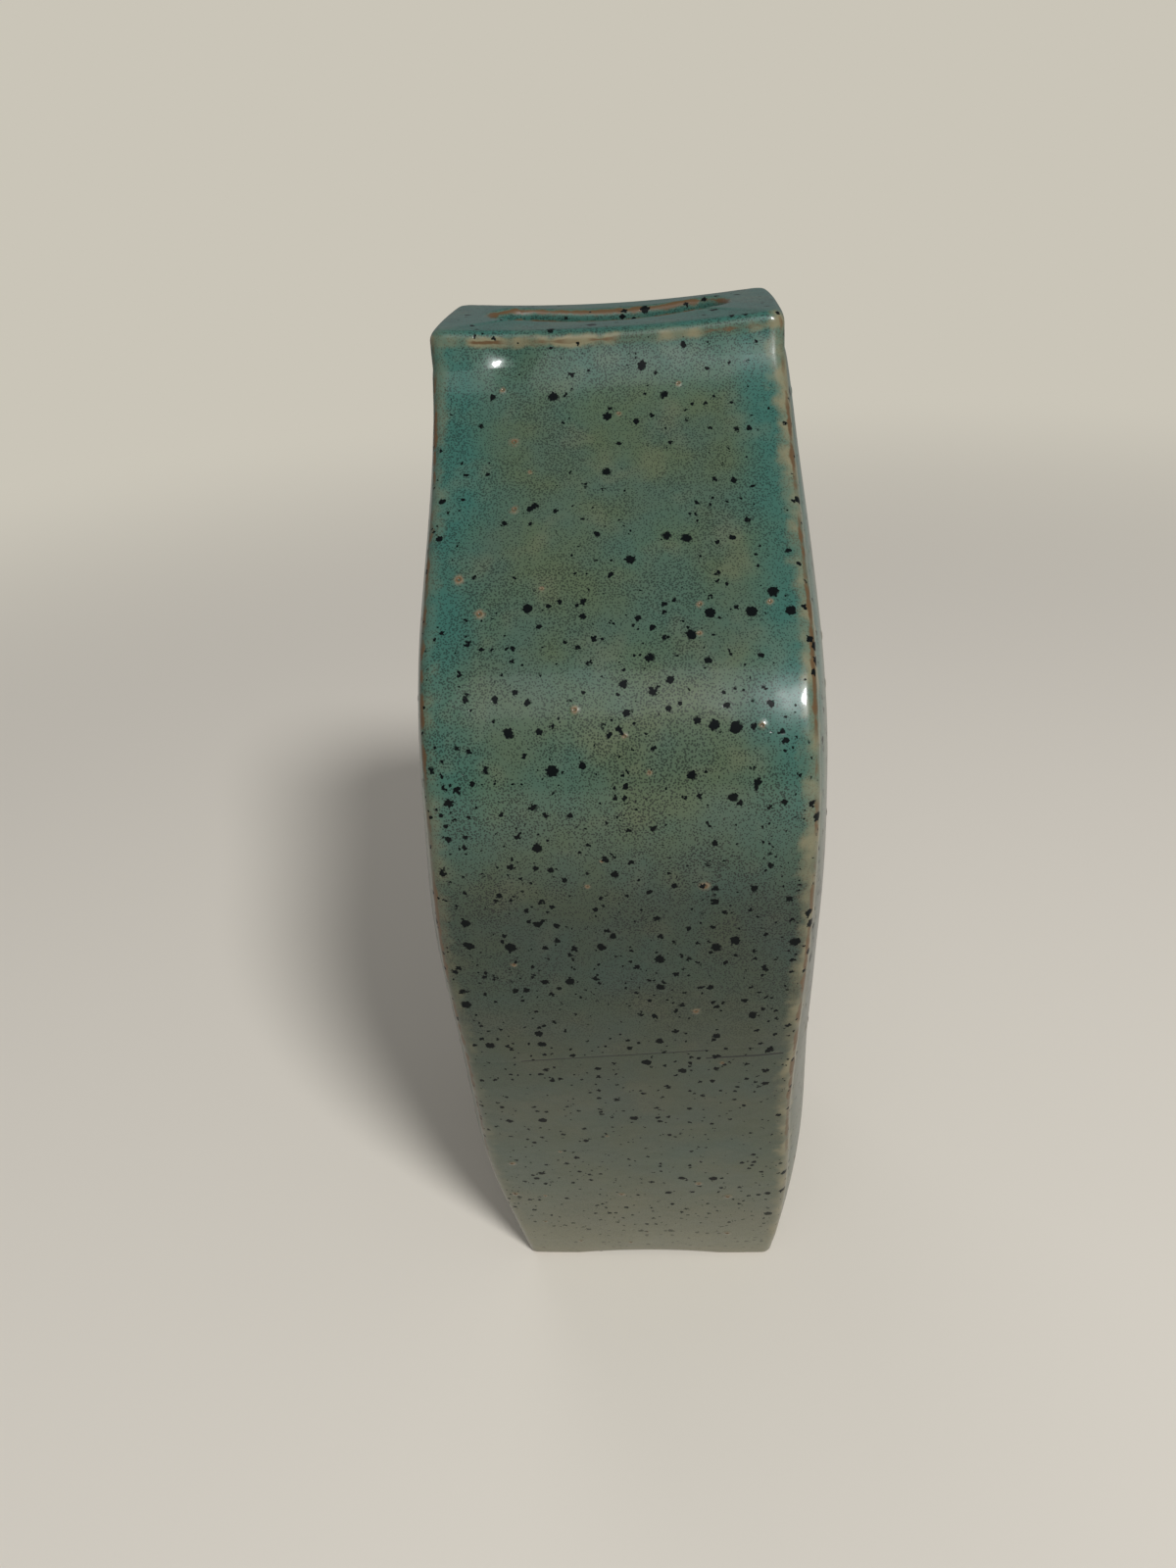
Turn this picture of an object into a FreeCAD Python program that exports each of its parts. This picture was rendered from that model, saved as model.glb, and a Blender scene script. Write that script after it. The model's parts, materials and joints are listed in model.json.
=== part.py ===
import FreeCAD, Part
import math
import os
import Sketcher

from FreeCAD import Vector

# A slab-built pillow vase, in millimetres, +Z up, resting on Z = 0.
# X runs along the width of the narrow edge strips, and the front strip faces -Y.
# Two bent edge strips, front and back, are each luted end to end from two slabs.
# Two side panels, which swell like a pillow, are butted between the strips.
# A floor slab closes the bottom, a slotted rim closes the neck, and a coil of clay
# is pressed into each upright inner corner.

# Driving sizes: the name in the sheet, the size, and what it measures.
SIZES = (
    ("vase_height", 200.0, "table to the lip"),
    ("strip_width", 55.0, "width of the two edge strips"),
    ("slab_thickness", 7.0, "thickness of the rolled clay slab"),
    ("foot_depth", 70.0, "front to back at the table"),
    ("belly_depth", 140.0, "front to back at the widest height"),
    ("neck_depth", 29.0, "front to back at the lip"),
    ("shoulder_drop", 60.0, "lip down to where the shoulder starts"),
    ("belly_length", 6.0, "upright stretch of the belly"),
    ("flank_straight", 81.1, "straight stretch of the flank, from the foot up"),
    ("shoulder_radius", 28.0, "bend of the strip at the shoulder"),
    ("neck_radius", 24.0, "hollow bend of the strip under the lip"),
    ("lip_lean", 14.0, "degrees that the strip still leans in at the lip"),
    ("seam_height", 90.0, "height of the joint across each edge strip"),
    ("ridge_round", 2.0, "rounding of the long outer edges of the strips and of the lip"),
    ("foot_arch_rise", 1.2, "gap under the middle of each strip"),
    ("foot_arch_length", 32.0, "length of that gap"),
    ("rim_height", 6.0, "height of the slotted rim"),
    ("rim_dip", 1.5, "how far the lip sags in the middle"),
    ("mouth_length", 38.0, "slot along X"),
    ("mouth_width", 12.5, "slot along Y"),
    ("mouth_round", 1.5, "rounding of the slot's upper edge"),
    ("panel_crown", 8.5, "how far a side panel swells past the strips"),
    ("panel_edge_crown", 0.6, "the same at the foot and under the rim"),
    ("floor_thickness", 7.0, "thickness of the floor slab"),
    ("floor_lift", 1.6, "table to the underside of the floor"),
    ("slip_gap", 0.3, "slip left between a panel and what lies inside it"),
    ("coil_radius", 4.5, "clay coil pressed into each inner corner"),
    ("coil_drop", 16.0, "lip down to where the corner coils stop"),
    ("overrun", 5.0, "how far a cutting shape passes the clay"),
)

# Heights of the cross sections that shape a side panel, as shares of its own height.
# They lie closer together over the shoulder, where the outline turns.
SECTION_HEIGHT_SHARES = (0.0, 0.12, 0.26, 0.4, 0.54, 0.66, 0.74, 0.8, 0.86, 0.92, 0.96, 1.0)

# How full the swell is: one would be a plain sine over the panel's height.
CROWN_FULLNESS_SHARE = 0.7

# The wide bend under the belly starts where the straight flank ends and ends upright,
# so its radius follows from the sizes about it. The turn is the cotangent of half its angle.
FLANK_TURN = (
    "(2 * (sizes.vase_height - sizes.shoulder_drop - sizes.belly_length + sizes.flank_straight)"
    " / (sizes.belly_depth - sizes.foot_depth))"
)
FLANK_RADIUS = (
    f"((sizes.belly_depth - sizes.foot_depth) / 4 * ({FLANK_TURN} ^ 2 + 1)"
    f" - sizes.flank_straight * {FLANK_TURN})"
)

# How near two places count as touching, as a share of the slab's thickness.
TOUCH_SHARE = 0.01


def make_sheet(doc):
    """Write the driving sizes in a spreadsheet and return it."""
    sheet = doc.addObject("Spreadsheet::Sheet", "sizes")
    for row, (alias, value, note) in enumerate(SIZES, start=1):
        sheet.set(f"A{row}", note)
        sheet.set(f"B{row}", str(value))
        sheet.setAlias(f"B{row}", alias)
    doc.recompute()
    return sheet


class Profile:
    """The outline of the vase seen from its broad side, as half depth against height.

    It climbs from the foot: a straight leaning flank, a wide bend, a short upright
    belly, a tighter bend, a straight shoulder and a hollow bend up to the lip.
    An inset outline is the same one moved inwards by the slab's thickness.
    """

    def __init__(self, size):
        self.size = size
        self.foot = size["foot_depth"] / 2
        self.belly = size["belly_depth"] / 2
        self.lip = math.radians(size["lip_lean"])
        self.belly_top = size["vase_height"] - size["shoulder_drop"]
        self.belly_bottom = self.belly_top - size["belly_length"]
        # The flank is straight from the foot and then bends upright into the belly.
        spread = self.belly - self.foot
        turn = (self.belly_bottom + size["flank_straight"]) / spread
        self.flank_radius = spread / 2 * (turn ** 2 + 1) - size["flank_straight"] * turn
        self.flank_lean = 2 * math.atan(1 / turn)
        self.flank_centre = (self.belly - self.flank_radius, self.belly_bottom)
        self.shoulder_centre = (self.belly - size["shoulder_radius"], self.belly_top)
        self.neck_centre = (
            size["neck_depth"] / 2 + size["neck_radius"] * math.cos(self.lip),
            size["vase_height"] + size["neck_radius"] * math.sin(self.lip),
        )
        # The shoulder is the tangent that crosses between the two upper bends.
        across = self.neck_centre[0] - self.shoulder_centre[0]
        climb = self.neck_centre[1] - self.shoulder_centre[1]
        swing = math.acos((size["shoulder_radius"] + size["neck_radius"]) / math.hypot(across, climb))
        self.shoulder_lean = math.atan2(climb, across) - swing

    def on_bend(self, centre, radius, lean, turn):
        """Return a point on a bend, at an angle from level."""
        return centre[0] + radius * math.cos(lean), centre[1] + turn * radius * math.sin(lean)

    def corners(self, inset):
        """Return the points where the outline changes, from the foot to the lip."""
        size = self.size
        height = size["vase_height"]
        neck_radius = size["neck_radius"] + inset
        lip = math.asin((self.neck_centre[1] - height) / neck_radius)
        return (
            (self.foot - inset / math.cos(self.flank_lean), 0.0),
            self.on_bend(self.flank_centre, self.flank_radius - inset, self.flank_lean, -1),
            (self.belly - inset, self.belly_bottom),
            (self.belly - inset, self.belly_top),
            self.on_bend(self.shoulder_centre, size["shoulder_radius"] - inset, self.shoulder_lean, 1),
            self.on_bend(self.neck_centre, -neck_radius, self.shoulder_lean, 1),
            self.on_bend(self.neck_centre, -neck_radius, lip, 1),
        )

    def edges(self, inset, side):
        """Return the edges on one side, foot to lip: start, end, and a bend's centre and radius.

        The radius is the text of an expression in the sheet.
        """
        points = [(side * across, climb) for across, climb in self.corners(inset)]
        bends = (
            (self.flank_centre, FLANK_RADIUS, " - sizes.slab_thickness"),
            (self.shoulder_centre, "sizes.shoulder_radius", " - sizes.slab_thickness"),
            (self.neck_centre, "sizes.neck_radius", " + sizes.slab_thickness"),
        )
        rows = []
        for place, (start, end) in enumerate(zip(points, points[1:])):
            if place % 2 == 0:
                rows.append((start, end, None, None))
                continue
            (across, climb), radius, change = bends[place // 2]
            rows.append((start, end, (side * across, climb), radius + change if inset else radius))
        return rows

    def half_depth(self, height, inset):
        """Return how far the outline stands from the middle at one height."""
        size = self.size
        foot, flank, low, high, shoulder, neck, _ = self.corners(inset)
        if height <= flank[1]:
            return foot[0] + height * math.tan(self.flank_lean)
        if height <= low[1]:
            return self.flank_centre[0] + math.sqrt(
                (self.flank_radius - inset) ** 2 - (low[1] - height) ** 2)
        if height <= high[1]:
            return high[0]
        if height <= shoulder[1]:
            return self.shoulder_centre[0] + math.sqrt(
                (size["shoulder_radius"] - inset) ** 2 - (height - high[1]) ** 2)
        if height <= neck[1]:
            return shoulder[0] - (height - shoulder[1]) * math.tan(self.shoulder_lean)
        return self.neck_centre[0] - math.sqrt(
            (size["neck_radius"] + inset) ** 2 - (self.neck_centre[1] - height) ** 2)


def reversed_rows(rows):
    """Return the same edges walked the other way."""
    return [(end, start, centre, radius) for start, end, centre, radius in reversed(rows)]


def closed_rows(first, second):
    """Close two open runs of edges, which end to end make a loop, with two straight edges."""
    over = [(first[-1][1], second[0][0], None, None)]
    under = [(second[-1][1], first[0][0], None, None)]
    return first + over + second + under


def outline_rows(profile, inset):
    """Return the closed outline: up the back, over the lip and down the front."""
    return closed_rows(profile.edges(inset, 1), reversed_rows(profile.edges(inset, -1)))


def heights(size):
    """Return the heights where pieces meet, each as its expression in the sheet and its value."""
    return {
        "seam": ("sizes.seam_height", size["seam_height"]),
        "rim_bottom": ("sizes.vase_height - sizes.rim_height", size["vase_height"] - size["rim_height"]),
        "floor_bottom": ("sizes.floor_lift", size["floor_lift"]),
        "floor_top": ("sizes.floor_lift + sizes.floor_thickness",
                      size["floor_lift"] + size["floor_thickness"]),
        "coil_top": ("sizes.vase_height - sizes.coil_drop", size["vase_height"] - size["coil_drop"]),
    }


def new_body(doc, name):
    """Add an empty body that is named after its piece."""
    body = doc.addObject("PartDesign::Body", name)
    body.Label = name
    return body


def new_sketch(body, name, role):
    """Add a sketch on one of the body's own origin planes."""
    plane = next(item for item in body.Origin.OriginFeatures if item.Role == role)
    sketch = body.newObject("Sketcher::SketchObject", name)
    sketch.AttachmentSupport = [(plane, "")]
    sketch.MapMode = "FlatFace"
    return sketch


def lift_sketch(sketch, distance, expression):
    """Move a sketch off its plane by a distance bound to the sheet."""
    sketch.AttachmentOffset = FreeCAD.Placement(Vector(0, 0, distance), FreeCAD.Rotation())
    sketch.setExpression("AttachmentOffset.Base.z", expression)


def add_edge(sketch, start, end, centre):
    """Add a line or an arc and return its number with its start and end positions."""
    if centre is None:
        line = Part.LineSegment(Vector(start[0], start[1], 0), Vector(end[0], end[1], 0))
        return sketch.addGeometry(line, False), 1, 2
    first = (start[0] - centre[0], start[1] - centre[1])
    second = (end[0] - centre[0], end[1] - centre[1])
    leftward = first[0] * second[1] - first[1] * second[0] >= 0
    begin, finish = (first, second) if leftward else (second, first)
    circle = Part.Circle(Vector(centre[0], centre[1], 0), Vector(0, 0, 1), math.hypot(*first))
    arc = Part.ArcOfCircle(circle, math.atan2(begin[1], begin[0]), math.atan2(finish[1], finish[0]))
    number = sketch.addGeometry(arc, False)
    return (number, 1, 2) if leftward else (number, 2, 1)


def add_run(sketch, rows):
    """Add edges joined end to end and return them."""
    edges = [add_edge(sketch, start, end, centre) for start, end, centre, radius in rows]
    for edge, follower in zip(edges, edges[1:]):
        sketch.addConstraint(Sketcher.Constraint("Coincident", edge[0], edge[2], follower[0], follower[1]))
    return edges


def add_loop(sketch, rows):
    """Add a closed outline, joined end to end, and return its edges."""
    edges = add_run(sketch, rows)
    last, first = edges[-1], edges[0]
    sketch.addConstraint(Sketcher.Constraint("Coincident", last[0], last[2], first[0], first[1]))
    return edges


def bind(sketch, kind, arguments, expression):
    """Add a driving dimension and bind it to the sheet."""
    number = sketch.addConstraint(Sketcher.Constraint(kind, *arguments))
    sketch.setExpression(f"Constraints[{number}]", expression)


def bind_bends(sketch, edges, rows):
    """Bind the radius of each bend to the sheet."""
    for edge, (start, end, centre, radius) in zip(edges, rows):
        if radius is not None:
            bind(sketch, "Radius", (edge[0], math.dist(start, centre)), radius)


def outline_sketch(body, name, profile, inset):
    """Draw the whole outline seen from the broad side, front and back."""
    sketch = new_sketch(body, name, "YZ_Plane")
    rows = outline_rows(profile, inset)
    bind_bends(sketch, add_loop(sketch, rows), rows)
    return sketch


def rectangle(sketch, left, bottom, right, top):
    """Add an upright rectangle, bottom edge first, and return its edges."""
    corners = ((left, bottom), (right, bottom), (right, top), (left, top), (left, bottom))
    edges = add_loop(sketch, [(start, end, None, None) for start, end in zip(corners, corners[1:])])
    for place, edge in enumerate(edges):
        kind = "Vertical" if place % 2 else "Horizontal"
        sketch.addConstraint(Sketcher.Constraint(kind, edge[0]))
    return edges


def shallow_arc(half, rise):
    """Return the radius of the arc over a chord, from half the chord and the arc's rise."""
    return (half ** 2 + rise ** 2) / (2 * rise)


def shallow_arc_text(chord, rise):
    """Return the same radius as an expression of two names in the sheet."""
    return f"((sizes.{chord} / 2) ^ 2 + sizes.{rise} ^ 2) / (2 * sizes.{rise})"


def pad(body, sketch, name, expression):
    """Pad a sketch evenly to both sides of its plane."""
    feature = body.newObject("PartDesign::Pad", name)
    feature.Profile = sketch
    feature.SideType = "Symmetric"
    feature.setExpression("Length", expression)
    return feature


def pocket(body, sketch, name):
    """Cut a sketch right through, to both sides of its plane."""
    feature = body.newObject("PartDesign::Pocket", name)
    feature.Profile = sketch
    feature.SideType = "Symmetric"
    feature.Type = "ThroughAll"
    return feature


def fillet(doc, body, name, chosen, expression):
    """Round the edges of the body's last feature that pass a test."""
    doc.recompute()
    base = body.Tip
    names = [f"Edge{number}" for number, edge in enumerate(base.Shape.Edges, start=1) if chosen(edge)]
    feature = body.newObject("PartDesign::Fillet", name)
    feature.Base = (base, names)
    feature.setExpression("Radius", expression)
    doc.recompute()
    return feature


def keep_between(body, size, name, low, high):
    """Cut away the clay outside a range of heights; None leaves that end alone."""
    sketch = new_sketch(body, f"{name}_limits", "YZ_Plane")
    reach = size["belly_depth"] / 2 + size["overrun"]
    if low is not None:
        expression, value = low
        edges = rectangle(sketch, -reach, -size["overrun"], reach, value)
        bind(sketch, "DistanceY", (-1, 1, edges[2][0], 1, value), expression)
    if high is not None:
        expression, value = high
        edges = rectangle(sketch, -reach, value, reach, size["vase_height"] + size["overrun"])
        bind(sketch, "DistanceY", (-1, 1, edges[0][0], 1, value), expression)
    return pocket(body, sketch, f"{name}_ends")


def on_ridge(profile, edge):
    """Say whether an edge lies along one of the long outer ridges."""
    size = profile.size
    touch = TOUCH_SHARE * size["slab_thickness"]
    middle = edge.valueAt((edge.FirstParameter + edge.LastParameter) / 2)
    at_side = edge.BoundBox.XLength < touch and abs(abs(middle.x) - size["strip_width"] / 2) < touch
    outside = abs(profile.half_depth(middle.z, 0) - abs(middle.y)) < touch
    return at_side and outside and edge.BoundBox.ZLength > touch


def edge_strip(doc, profile, name, side, part):
    """Make the lower or the upper slab of one edge strip, bent along the outline."""
    size = profile.size
    inset = size["slab_thickness"]
    level = heights(size)
    body = new_body(doc, name)
    sketch = new_sketch(body, f"{name}_band", "YZ_Plane")
    outer = profile.edges(0, side)
    inner = reversed_rows(profile.edges(inset, side))
    edges = add_loop(sketch, closed_rows(outer, inner))
    bind_bends(sketch, edges, outer)
    bind_bends(sketch, edges[len(outer) + 1:], inner)
    pad(body, sketch, f"{name}_pad", "sizes.strip_width")
    fillet(doc, body, f"{name}_ridges", lambda edge: on_ridge(profile, edge), "sizes.ridge_round")
    if part == "lower":
        keep_between(body, size, name, None, level["seam"])
        arch_foot(body, size, name)
    else:
        keep_between(body, size, name, level["seam"], level["rim_bottom"])
    return body


def arch_foot(body, size, name):
    """Lift the middle of the strip's foot off the table in a shallow arch."""
    sketch = new_sketch(body, f"{name}_arch_line", "XZ_Plane")
    half = size["foot_arch_length"] / 2
    radius = shallow_arc(half, size["foot_arch_rise"])
    centre = (0.0, size["foot_arch_rise"] - radius)
    rows = [((half, 0.0), (-half, 0.0), centre, None), ((-half, 0.0), (half, 0.0), None, None)]
    edges = add_loop(sketch, rows)
    bind(sketch, "Radius", (edges[0][0], radius), shallow_arc_text("foot_arch_length", "foot_arch_rise"))
    return pocket(body, sketch, f"{name}_arch")


def mouth_rim(doc, profile):
    """Make the rim that closes the neck, with a sagging lip and a round-ended slot."""
    size = profile.size
    touch = TOUCH_SHARE * size["slab_thickness"]
    lip_low = size["vase_height"] - size["rim_dip"] - touch
    body = new_body(doc, "mouth_rim")
    pad(body, outline_sketch(body, "rim_outline", profile, 0), "rim_pad", "sizes.strip_width")
    keep_between(body, size, "rim", heights(size)["rim_bottom"], None)
    sag_lip(body, size)

    def on_rim(edge):
        return on_ridge(profile, edge) or edge.BoundBox.ZMin > lip_low

    fillet(doc, body, "rim_edges", on_rim, "sizes.ridge_round")
    cut_mouth(body, size)

    def on_mouth(edge):
        box = edge.BoundBox
        inside = box.XMax < size["mouth_length"] / 2 + touch and box.YMax < size["mouth_width"] / 2 + touch
        return inside and box.ZMin > lip_low

    fillet(doc, body, "mouth_edge", on_mouth, "sizes.mouth_round")
    return body


def sag_lip(body, size):
    """Let the top of the rim sag in the middle of its width."""
    sketch = new_sketch(body, "rim_sag_line", "XZ_Plane")
    half, top = size["strip_width"] / 2, size["vase_height"]
    radius = shallow_arc(half, size["rim_dip"])
    centre = (0.0, top - size["rim_dip"] + radius)
    rows = [((-half, top), (half, top), centre, None), ((half, top), (-half, top), None, None)]
    edges = add_loop(sketch, rows)
    bind(sketch, "Radius", (edges[0][0], radius), shallow_arc_text("strip_width", "rim_dip"))
    return pocket(body, sketch, "rim_sag")


def cut_mouth(body, size):
    """Cut the round-ended mouth through the rim."""
    sketch = new_sketch(body, "mouth_line", "XY_Plane")
    radius = size["mouth_width"] / 2
    reach = size["mouth_length"] / 2 - radius
    tip = size["mouth_length"] / 2
    # Each round end is two quarter turns, so that every arc is under a half circle.
    rows = [
        ((-reach, -radius), (reach, -radius), None, None),
        ((reach, -radius), (tip, 0.0), (reach, 0.0), None),
        ((tip, 0.0), (reach, radius), (reach, 0.0), None),
        ((reach, radius), (-reach, radius), None, None),
        ((-reach, radius), (-tip, 0.0), (-reach, 0.0), None),
        ((-tip, 0.0), (-reach, -radius), (-reach, 0.0), None),
    ]
    edges = add_loop(sketch, rows)
    bind(sketch, "Radius", (edges[1][0], radius), "sizes.mouth_width / 2")
    bind(sketch, "DistanceX", (edges[4][0], 3, edges[1][0], 3, 2 * reach),
         "sizes.mouth_length - sizes.mouth_width")
    return pocket(body, sketch, "mouth_slot")


def floor_slab(doc, profile):
    """Make the slab that closes the bottom, set inside the walls just off the table."""
    size = profile.size
    level = heights(size)
    body = new_body(doc, "floor_slab")
    sketch = outline_sketch(body, "floor_outline", profile, size["slab_thickness"])
    pad(body, sketch, "floor_pad", "sizes.strip_width - 2 * (sizes.slab_thickness + sizes.slip_gap)")
    keep_between(body, size, "floor", level["floor_bottom"], level["floor_top"])
    return body


def panel_crown(size, share):
    """Return how far a side panel swells at a share of its height."""
    edge = size["panel_edge_crown"]
    fullness = math.sin(math.pi * share) ** CROWN_FULLNESS_SHARE if 0 < share < 1 else 0.0
    return edge + (size["panel_crown"] - edge) * fullness


def panel_section(body, profile, name, side, share):
    """Draw one level cross section of a side panel: a slab bent along a shallow arc."""
    size = profile.size
    thickness = size["slab_thickness"]
    height = share * heights(size)["rim_bottom"][1]
    crown = panel_crown(size, share)
    reach = profile.half_depth(height, thickness)
    radius = shallow_arc(reach, crown)
    outer = side * (size["strip_width"] / 2 + crown - radius)
    inner = outer - side * thickness
    end = reach + size["overrun"]
    bow = side * math.sqrt(radius ** 2 - end ** 2)
    rows = [
        ((outer + bow, -end), (outer + bow, end), (outer, 0.0), None),
        ((outer + bow, end), (inner + bow, end), None, None),
        ((inner + bow, end), (inner + bow, -end), (inner, 0.0), None),
        ((inner + bow, -end), (outer + bow, -end), None, None),
    ]
    sketch = new_sketch(body, name, "XY_Plane")
    lift_sketch(sketch, height, f"{share} * (sizes.vase_height - sizes.rim_height)")
    edges = add_loop(sketch, rows)
    left, right = (edges[2], edges[0]) if side > 0 else (edges[0], edges[2])
    bind(sketch, "DistanceX", (left[0], 3, right[0], 3, thickness), "sizes.slab_thickness")
    return sketch


def side_panel(doc, profile, name, side):
    """Make one broad side panel, which swells like a pillow and fills the strips' inner outline."""
    size = profile.size
    inset = size["slab_thickness"]
    body = new_body(doc, name)
    sections = [
        panel_section(body, profile, f"{name}_section_{number}", side, share)
        for number, share in enumerate(SECTION_HEIGHT_SHARES, start=1)
    ]
    swell = body.newObject("PartDesign::AdditiveLoft", f"{name}_swell")
    swell.Profile = sections[0]
    swell.Sections = sections[1:]
    trim = new_sketch(body, f"{name}_trim_line", "YZ_Plane")
    reach = size["belly_depth"] + size["overrun"]
    rectangle(trim, -reach, -size["overrun"], reach, size["vase_height"] + size["overrun"])
    rows = outline_rows(profile, inset)
    bind_bends(trim, add_loop(trim, rows), rows)
    pocket(body, trim, f"{name}_trim")
    return body


def corner_coil(doc, profile, name, side, across):
    """Make the quarter-round coil of clay pressed into one upright inner corner."""
    size = profile.size
    inset = size["slab_thickness"]
    level = heights(size)
    place = across * (size["strip_width"] / 2 - inset - size["slip_gap"])
    body = new_body(doc, name)
    path = new_sketch(body, f"{name}_path", "YZ_Plane")
    lift_sketch(path, place, f"{across} * (sizes.strip_width / 2 - sizes.slab_thickness - sizes.slip_gap)")
    rows = profile.edges(inset, side)
    bind_bends(path, add_run(path, rows), rows)
    corner = (place, rows[0][0][0])
    along = (place - across * size["coil_radius"], corner[1])
    inward = (place, corner[1] - side * size["coil_radius"])
    section = new_sketch(body, f"{name}_section", "XY_Plane")
    edges = add_loop(section, [
        (corner, along, None, None), (along, inward, corner, None), (inward, corner, None, None)])
    bind(section, "Radius", (edges[1][0], size["coil_radius"]), "sizes.coil_radius")
    pipe = body.newObject("PartDesign::AdditivePipe", f"{name}_pipe")
    pipe.Profile = section
    pipe.Spine = (path, [f"Edge{number}" for number in range(1, len(rows) + 1)])
    pipe.Mode = "Binormal"
    pipe.Binormal = Vector(1, 0, 0)
    keep_between(body, size, name, level["floor_top"], level["coil_top"])
    return body


def check(doc, pieces):
    """Stop if any object failed or any piece has no sound shape."""
    doc.recompute()
    for item in doc.Objects:
        if "Invalid" in item.State or "Error" in item.State:
            raise RuntimeError(f"{item.Name} is {item.State}")
    for piece in pieces:
        if piece.Shape.isNull() or not piece.Shape.isValid() or len(piece.Shape.Solids) != 1:
            raise RuntimeError(f"{piece.Label} has no sound solid")


def build():
    """Build every piece and write one file for each."""
    doc = FreeCAD.newDocument("pillow_vase")
    sheet = make_sheet(doc)
    profile = Profile({alias: float(sheet.get(alias)) for alias, value, note in SIZES})
    pieces = []
    for front, side in (("front", -1), ("back", 1)):
        for part in ("lower", "upper"):
            pieces.append(edge_strip(doc, profile, f"{front}_strip_{part}", side, part))
        for hand, across in (("left", -1), ("right", 1)):
            pieces.append(corner_coil(doc, profile, f"corner_coil_{front}_{hand}", side, across))
    for hand, side in (("left", -1), ("right", 1)):
        pieces.append(side_panel(doc, profile, f"{hand}_panel", side))
    pieces.append(floor_slab(doc, profile))
    pieces.append(mouth_rim(doc, profile))
    check(doc, pieces)
    os.makedirs("parts", exist_ok=True)
    for piece in pieces:
        piece.Shape.exportStep(os.path.join("parts", f"{piece.Label}.step"))


build()
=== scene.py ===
import json
import math

import bmesh
import bpy
from bpy.props import FloatProperty, FloatVectorProperty, IntProperty, PointerProperty
from bpy.types import Operator, Panel, PropertyGroup
from mathutils import Matrix, Vector, noise

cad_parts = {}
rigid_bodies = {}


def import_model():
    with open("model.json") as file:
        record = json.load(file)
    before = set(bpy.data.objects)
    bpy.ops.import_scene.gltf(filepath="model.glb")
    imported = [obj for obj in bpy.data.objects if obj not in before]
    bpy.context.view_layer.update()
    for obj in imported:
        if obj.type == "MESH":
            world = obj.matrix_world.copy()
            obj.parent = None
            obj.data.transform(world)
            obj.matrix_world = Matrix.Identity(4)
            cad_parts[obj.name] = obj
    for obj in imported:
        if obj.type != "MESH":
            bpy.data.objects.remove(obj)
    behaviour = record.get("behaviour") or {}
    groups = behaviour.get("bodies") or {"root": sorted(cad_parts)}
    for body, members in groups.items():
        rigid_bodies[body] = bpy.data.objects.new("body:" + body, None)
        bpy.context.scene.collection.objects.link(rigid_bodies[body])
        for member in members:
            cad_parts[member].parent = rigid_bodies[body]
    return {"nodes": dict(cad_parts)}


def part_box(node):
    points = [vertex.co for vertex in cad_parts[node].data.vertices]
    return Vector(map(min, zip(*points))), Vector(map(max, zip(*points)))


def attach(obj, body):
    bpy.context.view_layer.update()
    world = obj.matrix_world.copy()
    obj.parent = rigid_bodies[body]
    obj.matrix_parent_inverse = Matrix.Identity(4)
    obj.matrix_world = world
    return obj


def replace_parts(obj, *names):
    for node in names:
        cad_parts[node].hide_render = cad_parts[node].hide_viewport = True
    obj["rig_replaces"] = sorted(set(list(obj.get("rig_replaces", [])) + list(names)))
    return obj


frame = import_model()

bl_info = {
    "name": "Pillow vase",
    "version": (1, 0, 0),
    "blender": (4, 5, 0),
    "location": "3D View > Sidebar > Vase",
    "description": "Builds the skin, glaze and studio of a slab-built pillow vase",
    "category": "Object",
}

MM = 0.001
BODY = "root"
FLOOR_REACH = 4.0
RIM_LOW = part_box("mouth_rim")[0]
UPPER_LOW, UPPER_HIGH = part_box("front_strip_upper")
LOWER_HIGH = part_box("front_strip_lower")[1]
RIGHT_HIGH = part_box("right_panel")[1]

# Faces that meet at more than this angle keep a sharp edge between them.
SHARP_ANGLE = math.radians(38)
# How many steps a rounded edge and the lip's flat land are made in.
ROUND_STEPS = 7
# Places in the noise where the unevenness of hand work starts.
WOBBLE_START = Vector((3.1, 7.7, 1.9))
RIPPLE_START = Vector((9.2, 2.4, 5.5))
# The belly leans to the right and the flanks to the left, and each side was pushed on its own too.
# Each row is the side that moves, how far along X, at what height and over what height.
PUSHES = (
    ("both", 0.8 * MM, 135 * MM, 30 * MM),
    ("both", -0.5 * MM, 62 * MM, 35 * MM),
    ("right", 1.5 * MM, 38 * MM, 28 * MM),
    ("left", -1.8 * MM, 120 * MM, 24 * MM),
    ("left", -2.0 * MM, 42 * MM, 28 * MM),
)

# Heights between which the glaze changes, written from where a change starts to where it ends.
TEAL_GROWS = (122 * MM, 175 * MM)
WIPED_ONCE = (116 * MM, 92 * MM)
WIPED_TWICE = (55 * MM, 8 * MM)
# The next three rows place the painted shade that darkens the colour below the belly.
PAINTED_SHADE_GROWS = (144 * MM, 122 * MM)
PAINTED_SHADE_HOLDS = (10 * MM, 105 * MM)
PAINTED_SHADE_STARTS = (6 * MM, 24 * MM)
PEPPER_GROWS = (88 * MM, 116 * MM)
PEPPER_THINS = (130 * MM, 160 * MM)
EDGES_GROW = (30 * MM, 80 * MM)
SPECKS_THIN = (140 * MM, 190 * MM)
SPECKS_SWELL = (75 * MM, 105 * MM)
SPECKS_START = (6 * MM, 30 * MM)
FOOT_BAND = (7 * MM, 2 * MM)
BARE_FOOT = (0.7 * MM, 0.3 * MM)
SHINE_GROWS = (70 * MM, 135 * MM)
# Where the teal on top of the lip starts and is full, measured down from the lip's rounded edge.
LIP_POOL = (-0.8 * MM, -2.2 * MM)
# Smooth noise lies mostly in this range, so a ramp over it gives soft patches.
NOISE_RANGE = (0.3, 0.7)


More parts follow.
